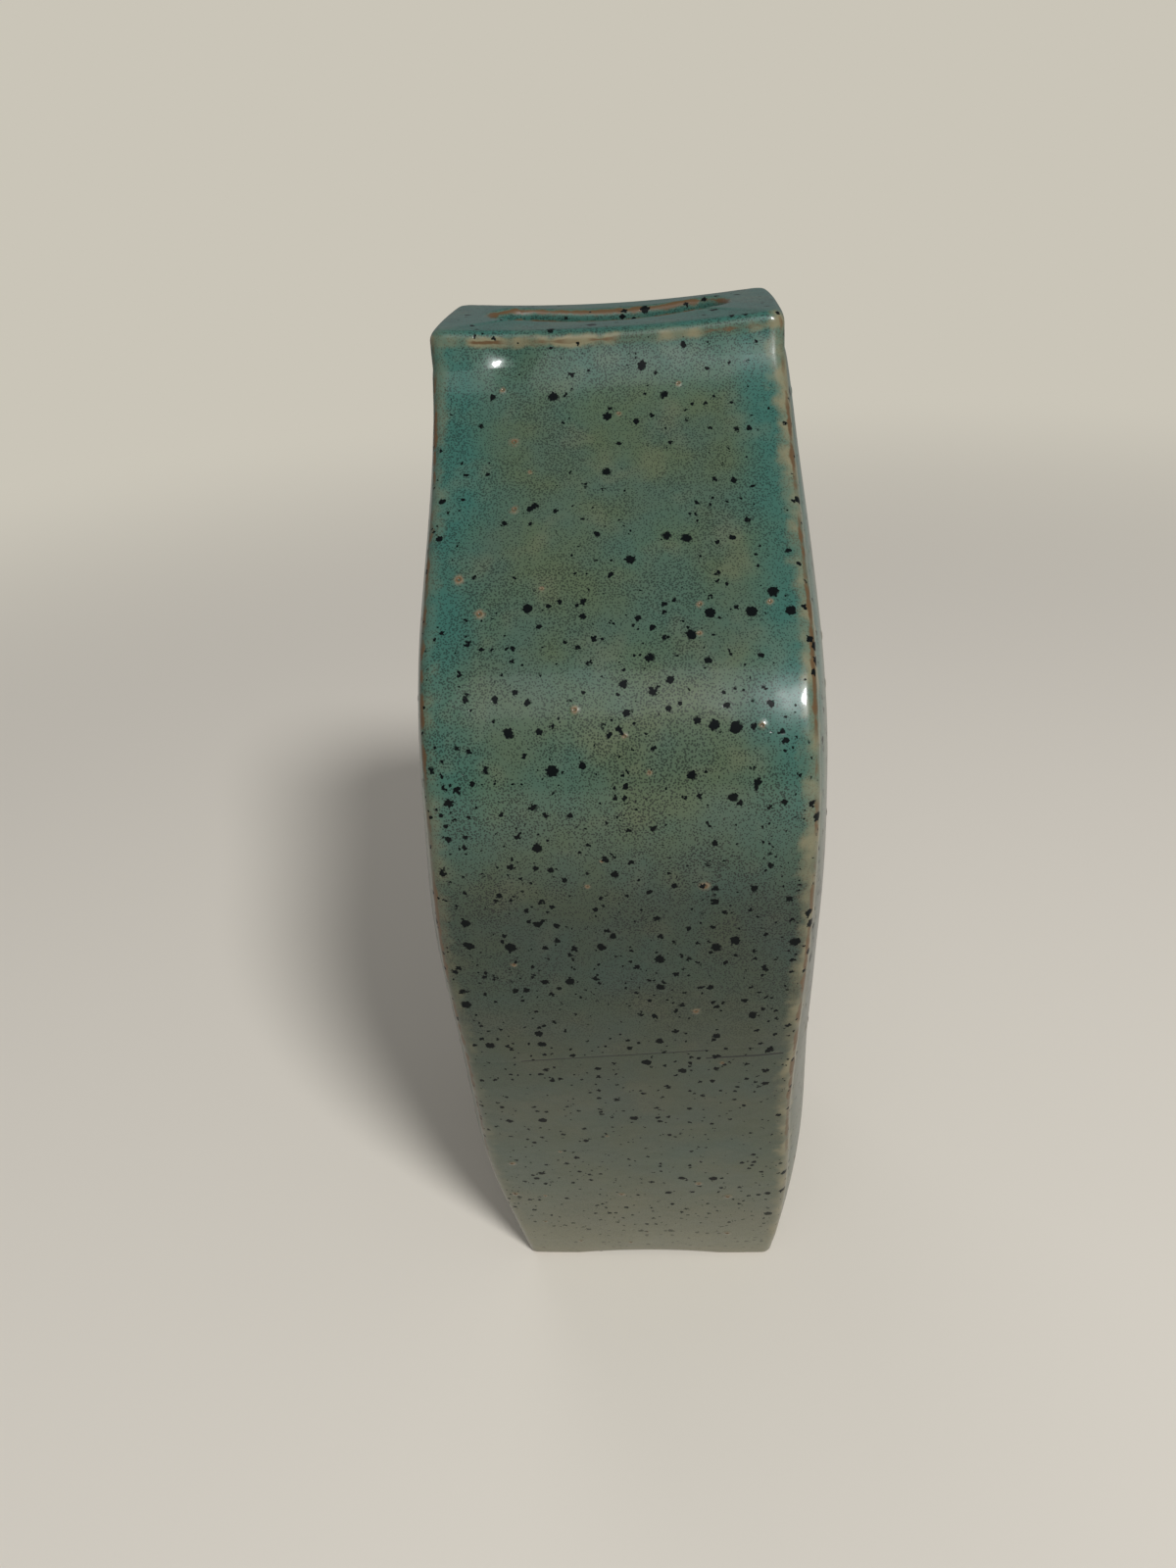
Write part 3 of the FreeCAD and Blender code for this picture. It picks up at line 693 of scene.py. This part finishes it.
def melt_colour(tree, glaze, place, height, marks):
    """Build the colour of the melted glaze, with painted shade below the belly, before anything breaks
    through it.
    """
    # The glaze pools teal inside the ridges, above all over the shoulder, and on top of the lip.
    patches = cloud(tree, place, glaze.patch_size, 4.0)
    pool = (glaze.pool_width, 0.25 * glaze.pool_width)
    band = ramp(tree, marks["edge_gap"], *pool)
    pooled = times(tree, band, ramp(tree, height, *TEAL_GROWS, 0.15, 1.0))
    pooled = most(tree, pooled, ramp(tree, marks["lip_gap"], *pool, 0.0, 0.45))
    pooled = most(tree, pooled, ramp(tree, marks["lip_gap"], *LIP_POOL, 0.0, 0.9))
    uneven = ramp(tree, patches, *NOISE_RANGE, -0.2, 0.28)
    thick = add(tree, "ShaderNodeMath", {0: pooled, 1: uneven}, operation="ADD", use_clamp=True)
    mottle = ramp(tree, cloud(tree, place, 0.6 * glaze.patch_size), *NOISE_RANGE)
    tone = blend(tree, mottle, glaze.olive, glaze.grey)
    tone = blend(tree, thick, tone, glaze.teal)

    # Faint pale clouds where the clay gassed through the melt.
    cloudy = ramp(tree, cloud(tree, place, glaze.cloud_size), 0.5, 0.75, 0.0, 0.16)
    tone = blend(tree, cloudy, tone, glaze.cream)

    # The glaze is wiped thinner and paler towards the foot.
    wiped = add(tree, "ShaderNodeMath", {
        0: ramp(tree, height, *WIPED_ONCE, 0.0, 0.22),
        1: ramp(tree, height, *WIPED_TWICE, 0.0, 0.55)}, operation="ADD")
    tone = blend(tree, wiped, tone, glaze.beige)
    # Painted shade: the colour is darkened towards near-black below the belly, where the flank faces down
    # and away from the lamp, and this shade thins out again towards the foot.
    painted_low_shade = times(tree, ramp(tree, height, *PAINTED_SHADE_GROWS, 0.0, 0.54), ramp(tree, height, *PAINTED_SHADE_HOLDS, 0.35, 1.0))
    painted_low_shade = times(tree, painted_low_shade, ramp(tree, height, *PAINTED_SHADE_STARTS))
    tone = blend(tree, painted_low_shade, tone, glaze.iron)

    # Fine dark pepper, thickest round the belly.
    grains = add(tree, "ShaderNodeTexVoronoi", {"Vector": place, "Scale": 1 / glaze.pepper_size})
    reach = ramp(tree, cloud(tree, place, glaze.rust_size), 0.35, 0.65, 0.4, 0.52)
    core = add(tree, "ShaderNodeMath", {0: reach, 1: 0.14}, operation="SUBTRACT")
    peppered = add(tree, "ShaderNodeMapRange", {
        "Value": grains.outputs["Distance"], "From Min": reach, "From Max": core})
    strength = times(tree, ramp(tree, height, *PEPPER_GROWS, 0.25, 0.85),
                     ramp(tree, height, *PEPPER_THINS, 1.0, 0.75))
    return blend(tree, times(tree, peppered, strength), tone, glaze.iron)


def glaze_colour(tree, glaze, place):
    """Build the glaze's colour, and return it with its rust, its specks and its bare clay."""
    spot = add(tree, "ShaderNodeSeparateXYZ", {0: place}).outputs
    height = spot["Z"]
    marks = {mark: add(tree, "ShaderNodeAttribute", attribute_name=mark).outputs["Fac"] for mark in MARKS}
    halo = add(tree, "ShaderNodeAttribute", attribute_name="halo").outputs["Fac"]
    tone = melt_colour(tree, glaze, place, height, marks)

    # The glaze breaks cream and rust where it runs thin: on the ridges, the lip and the slot's
    # far edge. Each row is the distance, the two widths, where rust comes and how strong the cream is.
    wander = cloud(tree, place, glaze.ragged_size, 3.0)
    wander = add(tree, "ShaderNodeMath", {0: wander, 1: 0.5}, operation="SUBTRACT")
    come = cloud(tree, place, glaze.rust_size)
    lip = add(tree, "ShaderNodeMath", {0: marks["lip_gap"], 1: glaze.lip_rise}, operation="ADD")
    lip = add(tree, "ShaderNodeMath", {0: lip}, operation="ABSOLUTE")
    mouth = add(tree, "ShaderNodeMath", {0: marks["mouth_gap"]}, operation="ABSOLUTE")
    strong = ramp(tree, height, *EDGES_GROW, 0.15, 1.0)
    torn = ramp(tree, cloud(tree, place, 5 * MM), 0.35, 0.65, 0.35, 1.0)
    pale_right = times(tree, torn, ramp(tree, spot["X"], -10 * MM, 20 * MM, 0.3, 0.85))
    pale_lip = ramp(tree, cloud(tree, place, 6 * MM), 0.4, 0.62, 0.15, 0.9)
    far_side = ramp(tree, spot["Y"], -1 * MM, 1 * MM)
    edges = (
        (marks["edge_gap"], glaze.ridge_break, glaze.ridge_fringe, (0.34, 0.5), pale_right, strong),
        (lip, glaze.lip_break, glaze.lip_fringe, (0.56, 0.68), pale_lip, strong),
        (mouth, glaze.mouth_break, glaze.mouth_fringe, (0.25, 0.4), 0.2, far_side),
    )
    rust_all = None
    for gap, thin, wide, patchy, cream, where in edges:
        ragged = add(tree, "ShaderNodeMath", {0: wander, 1: 3.2 * thin, 2: gap}, operation="MULTIPLY_ADD")
        rust = times(tree, ramp(tree, ragged, thin, 0.4 * thin), ramp(tree, come, *patchy))
        rust = times(tree, rust, where)
        loose = add(tree, "ShaderNodeMath", {0: wander, 1: 1.5 * wide, 2: gap}, operation="MULTIPLY_ADD")
        tone = blend(tree, times(tree, ramp(tree, loose, wide, thin), cream), tone, glaze.cream)
        tone = blend(tree, rust, tone, glaze.rust)
        rust_all = rust if rust_all is None else most(tree, rust_all, rust)

    # A blister has a blushing halo, uneven all round, and a rusty pit.
    frayed = ramp(tree, cloud(tree, place, 1.0 * MM), 0.35, 0.62, 0.15, 1.0)
    tone = blend(tree, times(tree, ramp(tree, halo, 0.05, 0.6, 0.0, 0.8), frayed), tone, glaze.blush)
    tone = blend(tree, ramp(tree, halo, 0.42, 0.75, 0.0, 0.9), tone, glaze.rust)

    # Iron in the clay melts through as near-black specks, few under the lip and faint by the foot.
    # Each row is the spacing, the smallest and largest radius, and the share of places kept.
    keep = ramp(tree, height, *SPECKS_THIN, 0.85, 0.28)
    bold = times(tree, keep, ramp(tree, height, *SPECKS_SWELL, 0.2, 0.85))
    sorts = (
        (glaze.speck_spacing, (0.3 * MM, 1.0 * MM), bold),
        (glaze.fleck_spacing, (0.15 * MM, 0.58 * MM), keep),
        (glaze.dot_spacing, (0.04 * MM, 0.2 * MM), keep),
    )
    specks, flecks, dots = (speck_mask(tree, place, glaze.chip_size, *sort) for sort in sorts)
    spotted = most(tree, most(tree, specks, flecks), dots)
    spotted = times(tree, spotted, ramp(tree, height, *SPECKS_START, 0.45, 1.0))
    tone = blend(tree, spotted, tone, glaze.iron)

    # The joint across a strip shows as a dark hairline, with a second crack beside it.
    # Each row is the height from the joint, half the line's width, its middle, its half length
    # and its depth of tone.
    lines = ((0.0, 0.14 * MM, -3 * MM, 16 * MM, 0.8), (-2.4 * MM, 0.22 * MM, 19 * MM, 6.5 * MM, 0.95))
    for rise, thin, middle, half, depth in lines:
        along = add(tree, "ShaderNodeMath", {0: spot["X"], 1: middle, 2: half}, operation="COMPARE")
        across = add(tree, "ShaderNodeMath", {
            0: marks["seam_gap"], 1: rise, 2: thin}, operation="COMPARE")
        line = times(tree, times(tree, along, across), depth)
        tone = blend(tree, line, tone, glaze.iron)

    # The foot is wiped: the glaze thins to a pale band, and the last of it is bare clay.
    worn = add(tree, "ShaderNodeMath", {0: wander, 1: 4 * MM, 2: height}, operation="MULTIPLY_ADD")
    tone = blend(tree, ramp(tree, worn, *FOOT_BAND, 0.0, 0.8), tone, glaze.beige)
    bare = ramp(tree, height, *BARE_FOOT)
    tone = blend(tree, bare, tone, glaze.clay)
    return tone, rust_all, spotted, bare


def glaze_material(glaze):
    """Stoneware glaze, dipped and fired glossy: sharp lights in a soft glow over a speckled colour."""
    name = "stoneware_glaze"
    if name in bpy.data.materials:
        return bpy.data.materials[name]
    material, tree = new_material(name)
    place = add(tree, "ShaderNodeTexCoord").outputs["Object"]
    height = add(tree, "ShaderNodeSeparateXYZ", {0: place}).outputs["Z"]
    tone, rust, spotted, bare = glaze_colour(tree, glaze, place)
    # Thin glaze over an edge or by the foot is drier, and bare clay is matt.
    dry = ramp(tree, rust, 0.0, 1.0, 0.3, 0.42)
    rough = add(tree, "ShaderNodeMath", {0: bare, 1: 0.5, 2: dry}, operation="MULTIPLY_ADD", use_clamp=True)
    shine = ramp(tree, height, *SHINE_GROWS, 0.18, 0.3)
    shine = times(tree, shine, ramp(tree, spotted, 0.0, 1.0, 1.0, 0.2))
    gloss = times(tree, ramp(tree, bare, 0.0, 1.0, 0.8, 0.0), shine)
    # The surface heaves like orange peel, and specks sink a hair below it.
    heave = times(tree, cloud(tree, place, glaze.peel_size, 1.0), glaze.peel_height / MM)
    sink = -glaze.speck_sink / MM
    relief = add(tree, "ShaderNodeMath", {0: spotted, 1: sink, 2: heave}, operation="MULTIPLY_ADD")
    heaved = add(tree, "ShaderNodeBump", {"Strength": 1.0, "Distance": MM, "Height": relief})
    shader = add(tree, "ShaderNodeBsdfPrincipled", {
        "Base Color": tone, "Roughness": rough, "IOR": 1.5, "Specular IOR Level": shine, "Normal": heaved,
        "Coat Weight": gloss, "Coat Roughness": 0.07, "Coat IOR": 1.5, "Coat Normal": heaved})
    add(tree, "ShaderNodeOutputMaterial", {"Surface": shader})
    return material


def clay_material(glaze):
    """Bare stoneware, fired without glaze: it gives a dry, grainy buff with dark iron in it."""
    name = "bare_stoneware"
    if name in bpy.data.materials:
        return bpy.data.materials[name]
    material, tree = new_material(name)
    place = add(tree, "ShaderNodeTexCoord").outputs["Object"]
    grain = cloud(tree, place, glaze.grain_size, 3.0)
    shade = add(tree, "ShaderNodeMapRange", {
        "Value": grain, "From Min": 0.35, "From Max": 0.7, "To Min": 0.0, "To Max": 0.35})
    tone = blend(tree, shade, glaze.clay, glaze.rust)
    specks = speck_mask(tree, place, glaze.chip_size, glaze.fleck_spacing, (0.15 * MM, 0.5 * MM), 0.5)
    tone = blend(tree, specks, tone, glaze.iron)
    relief = times(tree, grain, glaze.grain_height / MM)
    grainy = add(tree, "ShaderNodeBump", {"Strength": 1.0, "Distance": MM, "Height": relief})
    shader = add(tree, "ShaderNodeBsdfPrincipled", {
        "Base Color": tone, "Roughness": 0.85, "IOR": 1.5, "Normal": grainy})
    add(tree, "ShaderNodeOutputMaterial", {"Surface": shader})
    return material


class VASE_OT_strips(Operator):
    """Make the front and back edge strips, each of a lower and an upper slab"""

    bl_idname = "vase.make_strips"
    bl_label = "Make the edge strips"

    def execute(self, context):
        shape = context.scene.vase_shape
        skin = Skin(shape)
        columns = strip_columns(skin)
        material = glaze_material(context.scene.vase_glaze)
        lower = skin.outline.rows(0.0, shape.seam_height, shape.mesh_step,
                                  foot_rows(shape) + seam_rows(shape))
        upper = skin.outline.rows(shape.seam_height, shape.rim_bottom, shape.mesh_step, seam_rows(shape))
        for end, side in (("front", -1), ("back", 1)):
            for part, rows in (("lower", lower), ("upper", upper)):
                rings = [strip_ring(skin, side, columns, height) for height in rows]
                piece = shell(f"{end}_slab_{part}", skin, rings, closed=False)
                hand_in(piece, material, "glaze", f"{end}_strip_{part}")
        return {"FINISHED"}


class VASE_OT_panels(Operator):
    """Make the two broad side panels, which swell like a pillow"""

    bl_idname = "vase.make_panels"
    bl_label = "Make the side panels"

    def execute(self, context):
        shape = context.scene.vase_shape
        skin = Skin(shape)
        columns = panel_columns(skin)
        material = glaze_material(context.scene.vase_glaze)
        step = shape.mesh_step
        rows = skin.outline.rows(0.0, shape.seam_height, step, foot_rows(shape) + seam_rows(shape))
        rows += skin.outline.rows(shape.seam_height, shape.rim_bottom, step, seam_rows(shape))[1:]
        for end, hand in (("left", -1), ("right", 1)):
            rings = [panel_ring(skin, hand, columns, height) for height in rows]
            piece = shell(f"{end}_side", skin, rings, closed=False)
            hand_in(piece, material, "glaze", f"{end}_panel")
        return {"FINISHED"}


class VASE_OT_rim(Operator):
    """Make the slotted rim with its sagging lip"""

    bl_idname = "vase.make_rim"
    bl_label = "Make the rim"

    def slot_loop(self, shape, loop):
        """Return the slot's outline, one point for each point of the skin."""
        radius = shape.mouth_width / 2
        reach = shape.mouth_length / 2 - radius
        quarter = reach + math.pi / 2 * radius
        corner = shape.strip_width / 2
        turn = 3 * MM
        points = []
        for point, _ in loop:
            total = corner + shape.neck_depth / 2
            walked = min(abs(point.x), corner)
            if abs(point.x) > corner - turn:
                walked = total - min(abs(point.y), shape.neck_depth / 2)
            along = quarter * min(1.0, walked / total)
            if along <= reach:
                x, y = along, radius
            else:
                angle = (along - reach) / radius
                x, y = reach + radius * math.sin(angle), radius * math.cos(angle)
            points.append(Vector((math.copysign(x, point.x), math.copysign(y, point.y), 0.0)))
        return points

    def section(self, shape, skin, walls, slot):
        """Return the loop of points across the rim at one place round it."""
        lowest = walls[0][0]
        top = skin.lip_top(lowest.x)
        outer, inner = shape.lip_round, shape.mouth_round
        round_steps, wall_steps, under_steps = 6, 4, 4
        points = []
        for point, gap in walls:
            share = (point.z - shape.rim_bottom) / (walls[-1][0].z - shape.rim_bottom)
            height = shape.rim_bottom + share * (top - outer - shape.rim_bottom)
            points.append((Vector((point.x, point.y, height)), gap, 0.0, top - outer - height, FAR))
        edge = walls[-1][0]
        inward = Vector((slot.x - edge.x, slot.y - edge.y, 0.0))
        room = inward.length
        inward.normalize()
        gap = walls[-1][1]
        for number in range(1, ROUND_STEPS + 1):
            angle = math.pi / 2 * number / ROUND_STEPS
            step = inward * (outer * (1 - math.cos(angle)))
            height = top - outer + outer * math.sin(angle)
            spot = Vector((edge.x + step.x, edge.y + step.y, height))
            points.append((spot, gap + step.length, 0.0, -outer * angle, room))
        land = room - outer - inner
        for number in range(1, ROUND_STEPS + 1):
            reach = outer + land * number / ROUND_STEPS
            spot = Vector((edge.x + inward.x * reach, edge.y + inward.y * reach, top))
            points.append((spot, gap + reach, 0.0, outer - reach - outer * math.pi / 2,
                           room - inner / 3 - reach))
        for number in range(1, round_steps + 1):
            angle = math.pi / 2 * number / round_steps
            reach = room - inner + inner * math.sin(angle)
            height = top - inner + inner * math.cos(angle)
            spot = Vector((edge.x + inward.x * reach, edge.y + inward.y * reach, height))
            points.append((spot, FAR, 0.0, -FAR, inner * (math.pi / 4 - angle)))
        for number in range(1, wall_steps + 1):
            height = top - inner + (shape.rim_bottom - top + inner) * number / wall_steps
            points.append((Vector((slot.x, slot.y, height)), FAR, 1.0, FAR, top - inner - height))
        for number in range(1, under_steps):
            share = number / under_steps
            spot = Vector((slot.x, slot.y, 0.0)).lerp(Vector((lowest.x, lowest.y, 0.0)), share)
            points.append((Vector((spot.x, spot.y, shape.rim_bottom)), FAR, 1.0, FAR, FAR))
        return points

    def execute(self, context):
        shape = context.scene.vase_shape
        skin = Skin(shape)
        strips, panels = strip_columns(skin), panel_columns(skin)
        wall = shape.lip_height - shape.lip_dip - shape.lip_round - shape.rim_bottom
        steps = 5
        levels = [shape.rim_bottom + wall * number / steps for number in range(steps + 1)]
        loops = [perimeter(skin, strips, panels, height) for height in levels]
        slots = self.slot_loop(shape, loops[-1])
        rings = [self.section(shape, skin, walls, slot) for walls, slot in zip(zip(*loops), slots)]
        piece = shell("slotted_rim", skin, rings, closed=True)
        hand_in(piece, glaze_material(context.scene.vase_glaze), "glaze", "mouth_rim")
        return {"FINISHED"}


class VASE_OT_blisters(Operator):
    """Scatter the burst blisters that the clay's gas left in the glaze"""

    bl_idname = "vase.make_blisters"
    bl_label = "Make the blisters"

    def dome(self):
        """Return one blister of unit radius: a low ring about a pit, with its halo marked."""
        # Each row is the radius, the height and the halo, as shares of the blister's radius.
        shares = ((0.0, -0.02, 1.0), (0.1, 0.0, 1.0), (0.18, 0.05, 0.85), (0.27, 0.075, 0.6),
                  (0.38, 0.05, 0.42), (0.6, 0.012, 0.2), (1.0, -0.02, 0.0))
        sides = 12
        mesh = bmesh.new()
        mark = mesh.verts.layers.float.new("halo")
        rings = []
        for radius, rise, halo in shares:
            count = sides if radius else 1
            ring = []
            for number in range(count):
                angle = 2 * math.pi * number / count
                vert = mesh.verts.new((radius * math.cos(angle), radius * math.sin(angle), rise))
                vert[mark] = halo
                ring.append(vert)
            rings.append(ring)
        for inner, outer in zip(rings, rings[1:]):
            for number, vert in enumerate(outer):
                after = outer[(number + 1) % len(outer)]
                if len(inner) == 1:
                    mesh.faces.new((inner[0], vert, after))
                else:
                    mesh.faces.new((inner[number], vert, after, inner[(number + 1) % len(inner)]))
        for face in mesh.faces:
            face.smooth = True
        data = bpy.data.meshes.new("blister")
        mesh.to_mesh(data)
        mesh.free()
        return bpy.data.objects.new("blister", data)

    def scatter_tree(self):
        """Build the tree that scatters blisters over the skin, away from its edges."""
        tree = bpy.data.node_groups.new("scatter_blisters", "GeometryNodeTree")
        for name, kind in (("Geometry", "Geometry"), ("Blister", "Object"), ("Density", "Float"),
                           ("Spacing", "Float"), ("Smallest", "Float"), ("Largest", "Float"),
                           ("Seed", "Int"), ("Finish", "Material")):
            tree.interface.new_socket(name=name, in_out="INPUT", socket_type=f"NodeSocket{kind}")
        tree.interface.new_socket(name="Geometry", in_out="OUTPUT", socket_type="NodeSocketGeometry")
        given = add(tree, "NodeGroupInput").outputs
        marks = {}
        for mark in MARKS:
            marks[mark] = add(tree, "GeometryNodeInputNamedAttribute", {"Name": mark})
        # They fall on faces that are skin at all corners, well away from the ridges and the lip.
        inward = add(tree, "GeometryNodeFieldOnDomain", {"Value": marks["inside"]}, domain="FACE")
        free = add(tree, "FunctionNodeCompare", {0: inward, 1: 0.05}, operation="LESS_THAN")
        for mark, least in (("edge_gap", 2.2 * MM), ("lip_gap", 3.5 * MM)):
            away = add(tree, "FunctionNodeCompare", {0: marks[mark], 1: least}, operation="GREATER_THAN")
            free = add(tree, "FunctionNodeBooleanMath", {0: free, 1: away}, operation="AND")
        points = add(tree, "GeometryNodeDistributePointsOnFaces", {
            "Mesh": given["Geometry"], "Selection": free, "Distance Min": given["Spacing"],
            "Density Max": given["Density"], "Seed": given["Seed"]}, distribute_method="POISSON")
        size = add(tree, "FunctionNodeRandomValue", {
            "Min": given["Smallest"], "Max": given["Largest"], "Seed": given["Seed"]})
        shape = add(tree, "GeometryNodeObjectInfo", {"Object": given["Blister"]})
        placed = add(tree, "GeometryNodeInstanceOnPoints", {
            "Points": points.outputs["Points"], "Instance": shape.outputs["Geometry"],
            "Rotation": points.outputs["Rotation"], "Scale": size})
        made = add(tree, "GeometryNodeRealizeInstances", {"Geometry": placed})
        for mark in MARKS:
            near = add(tree, "GeometryNodeSampleNearestSurface", {
                "Mesh": given["Geometry"], "Value": marks[mark]})
            made = add(tree, "GeometryNodeStoreNamedAttribute", {
                "Geometry": made, "Name": mark, "Value": near}, domain="POINT")
        finished = add(tree, "GeometryNodeSetMaterial", {"Geometry": made, "Material": given["Finish"]})
        add(tree, "NodeGroupOutput", {"Geometry": finished})
        return tree

    def execute(self, context):
        glaze = context.scene.vase_glaze
        skins = [item for item in context.scene.objects if item.get("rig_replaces")]
        mesh = bmesh.new()
        for item in skins:
            mesh.from_mesh(item.data)
        data = bpy.data.meshes.new("glaze_blisters")
        mesh.to_mesh(data)
        mesh.free()
        piece = bpy.data.objects.new("glaze_blisters", data)
        context.scene.collection.objects.link(piece)
        modifier = piece.modifiers.new("scatter", "NODES")
        modifier.node_group = self.scatter_tree()
        dome = self.dome()
        values = {
            "Blister": dome, "Density": glaze.blister_count, "Spacing": glaze.blister_gap,
            "Smallest": glaze.blister_small, "Largest": glaze.blister_large, "Seed": glaze.blister_seed,
            "Finish": glaze_material(glaze),
        }
        for socket in modifier.node_group.interface.items_tree:
            if socket.in_out == "INPUT" and socket.name in values:
                modifier[socket.identifier] = values[socket.name]
        context.view_layer.update()
        graph = context.evaluated_depsgraph_get()
        finished = bpy.data.meshes.new_from_object(piece.evaluated_get(graph))
        piece.modifiers.remove(modifier)
        piece.data = finished
        finished.name = "glaze_blisters"
        bpy.data.objects.remove(dome)
        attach(piece, BODY)
        return {"FINISHED"}


class VASE_OT_inside(Operator):
    """Finish the floor slab and the corner coils"""

    bl_idname = "vase.finish_inside"
    bl_label = "Finish the inside"

    def execute(self, context):
        material = clay_material(context.scene.vase_glaze)
        for name, node in frame["nodes"].items():
            if name == "floor_slab" or name.startswith("corner_coil"):
                node.data.materials.clear()
                node.data.materials.append(material)
        return {"FINISHED"}


class VASE_OT_stage(Operator):
    """Set the floor, the lamps and the camera"""

    bl_idname = "vase.set_stage"
    bl_label = "Set the stage"

    def floor(self, stage):
        """Lay a pale floor that keeps the vase's shadow and fades into the backdrop far off."""
        data = bpy.data.meshes.new("floor")
        corners = [(-FLOOR_REACH, -FLOOR_REACH, 0), (FLOOR_REACH, -FLOOR_REACH, 0),
                   (FLOOR_REACH, FLOOR_REACH, 0), (-FLOOR_REACH, FLOOR_REACH, 0)]
        data.from_pydata(corners, [], [(0, 1, 2, 3)])
        floor = bpy.data.objects.new("floor", data)
        bpy.context.scene.collection.objects.link(floor)
        material, tree = new_material("painted_board")
        place = add(tree, "ShaderNodeTexCoord").outputs["Object"]
        away = add(tree, "ShaderNodeVectorMath", {0: place}, operation="LENGTH").outputs["Value"]
        fade = add(tree, "ShaderNodeMapRange", {
            "Value": away, "From Min": stage.fade_start, "From Max": stage.fade_end},
            interpolation_type="SMOOTHSTEP")
        direct = add(tree, "ShaderNodeLightPath").outputs["Is Camera Ray"]
        fade = times(tree, fade, direct)
        paint = add(tree, "ShaderNodeBsdfPrincipled", {"Base Color": stage.floor_tint, "Roughness": 0.7})
        far = add(tree, "ShaderNodeEmission", {"Color": stage.backdrop})
        mixed = add(tree, "ShaderNodeMixShader", {0: fade, 1: paint, 2: far})
        add(tree, "ShaderNodeOutputMaterial", {"Surface": mixed})
        data.materials.append(material)

    def sky(self, stage):
        """Light the vase from all round, and show the plain backdrop."""
        world = bpy.data.worlds.new("studio")
        bpy.context.scene.world = world
        world.use_nodes = True
        tree = world.node_tree
        tree.nodes.clear()
        light = add(tree, "ShaderNodeBackground", {
            "Color": (1.0, 1.0, 1.0, 1.0), "Strength": stage.sky_level})
        shown = add(tree, "ShaderNodeBackground", {"Color": stage.backdrop, "Strength": 1.0})
        camera = add(tree, "ShaderNodeLightPath").outputs["Is Camera Ray"]
        mixed = add(tree, "ShaderNodeMixShader", {0: camera, 1: light, 2: shown})
        add(tree, "ShaderNodeOutputWorld", {"Surface": mixed})

    def lamp(self, name, place, aim, width, height, power, mirrored=True):
        """Hang one soft lamp, itself out of the picture, and mirrored in the glaze or not."""
        data = bpy.data.lights.new(name, "AREA")
        data.shape = "ELLIPSE"
        data.size = width
        data.size_y = height
        data.energy = power
        lamp = bpy.data.objects.new(name, data)
        lamp.visible_camera = False
        lamp.visible_glossy = mirrored
        lamp.location = place
        lamp.rotation_euler = (Vector(aim) - Vector(place)).to_track_quat("-Z", "Y").to_euler()
        bpy.context.scene.collection.objects.link(lamp)

    def execute(self, context):
        stage = context.scene.vase_stage
        scene = context.scene
        scene.view_settings.view_transform = "Standard"
        self.floor(stage)
        level = stage.lamp_distance * math.cos(stage.lamp_climb)
        place = (level * math.sin(stage.lamp_turn), -level * math.cos(stage.lamp_turn),
                 stage.lamp_distance * math.sin(stage.lamp_climb))
        middle = (0, 0, scene.vase_shape.lip_height / 2)
        self.lamp("key", place, middle, stage.lamp_size, stage.lamp_size, stage.lamp_power)
        self.lamp("high", stage.high_place, middle, stage.high_width, stage.high_depth, stage.high_power)
        self.lamp("back", stage.back_place, middle, stage.back_width, stage.back_width, stage.back_power,
                  mirrored=False)
        self.sky(stage)
        data = bpy.data.cameras.new("camera")
        data.lens = stage.lens
        data.sensor_fit = "VERTICAL"
        data.sensor_height = stage.frame_height
        data.clip_start = stage.nearest
        camera = bpy.data.objects.new("camera", data)
        aim = Matrix.Rotation(stage.turn, 4, "Z") @ Matrix.Rotation(math.pi / 2 - stage.tip, 4, "X")
        stand = Matrix.Translation(stage.camera_place)
        camera.matrix_world = stand @ aim @ Matrix.Rotation(stage.roll, 4, "Z")
        scene.collection.objects.link(camera)
        scene.camera = camera
        return {"FINISHED"}


class VASE_PT_panel(Panel):
    """Lists the steps that build the vase"""

    bl_idname = "VASE_PT_panel"
    bl_label = "Pillow vase"
    bl_space_type = "VIEW_3D"
    bl_region_type = "UI"
    bl_category = "Vase"

    def draw(self, context):
        for step in STEPS:
            self.layout.operator(step.bl_idname)


STEPS = (VASE_OT_strips, VASE_OT_panels, VASE_OT_rim, VASE_OT_blisters, VASE_OT_inside, VASE_OT_stage)
CLASSES = (VaseShape, VaseGlaze, VaseStage) + STEPS + (VASE_PT_panel,)


def register():
    """Register the classes and the vase's settings."""
    for item in CLASSES:
        bpy.utils.register_class(item)
    bpy.types.Scene.vase_shape = PointerProperty(type=VaseShape)
    bpy.types.Scene.vase_glaze = PointerProperty(type=VaseGlaze)
    bpy.types.Scene.vase_stage = PointerProperty(type=VaseStage)


def unregister():
    """Take the classes and the settings away again."""
    del bpy.types.Scene.vase_stage
    del bpy.types.Scene.vase_glaze
    del bpy.types.Scene.vase_shape
    for item in reversed(CLASSES):
        bpy.utils.unregister_class(item)


def main():
    """Build the vase and its stage."""
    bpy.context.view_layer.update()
    register()
    bpy.ops.vase.make_strips()
    bpy.ops.vase.make_panels()
    bpy.ops.vase.make_rim()
    bpy.ops.vase.make_blisters()
    bpy.ops.vase.finish_inside()
    bpy.ops.vase.set_stage()


if __name__ == "__main__":
    main()
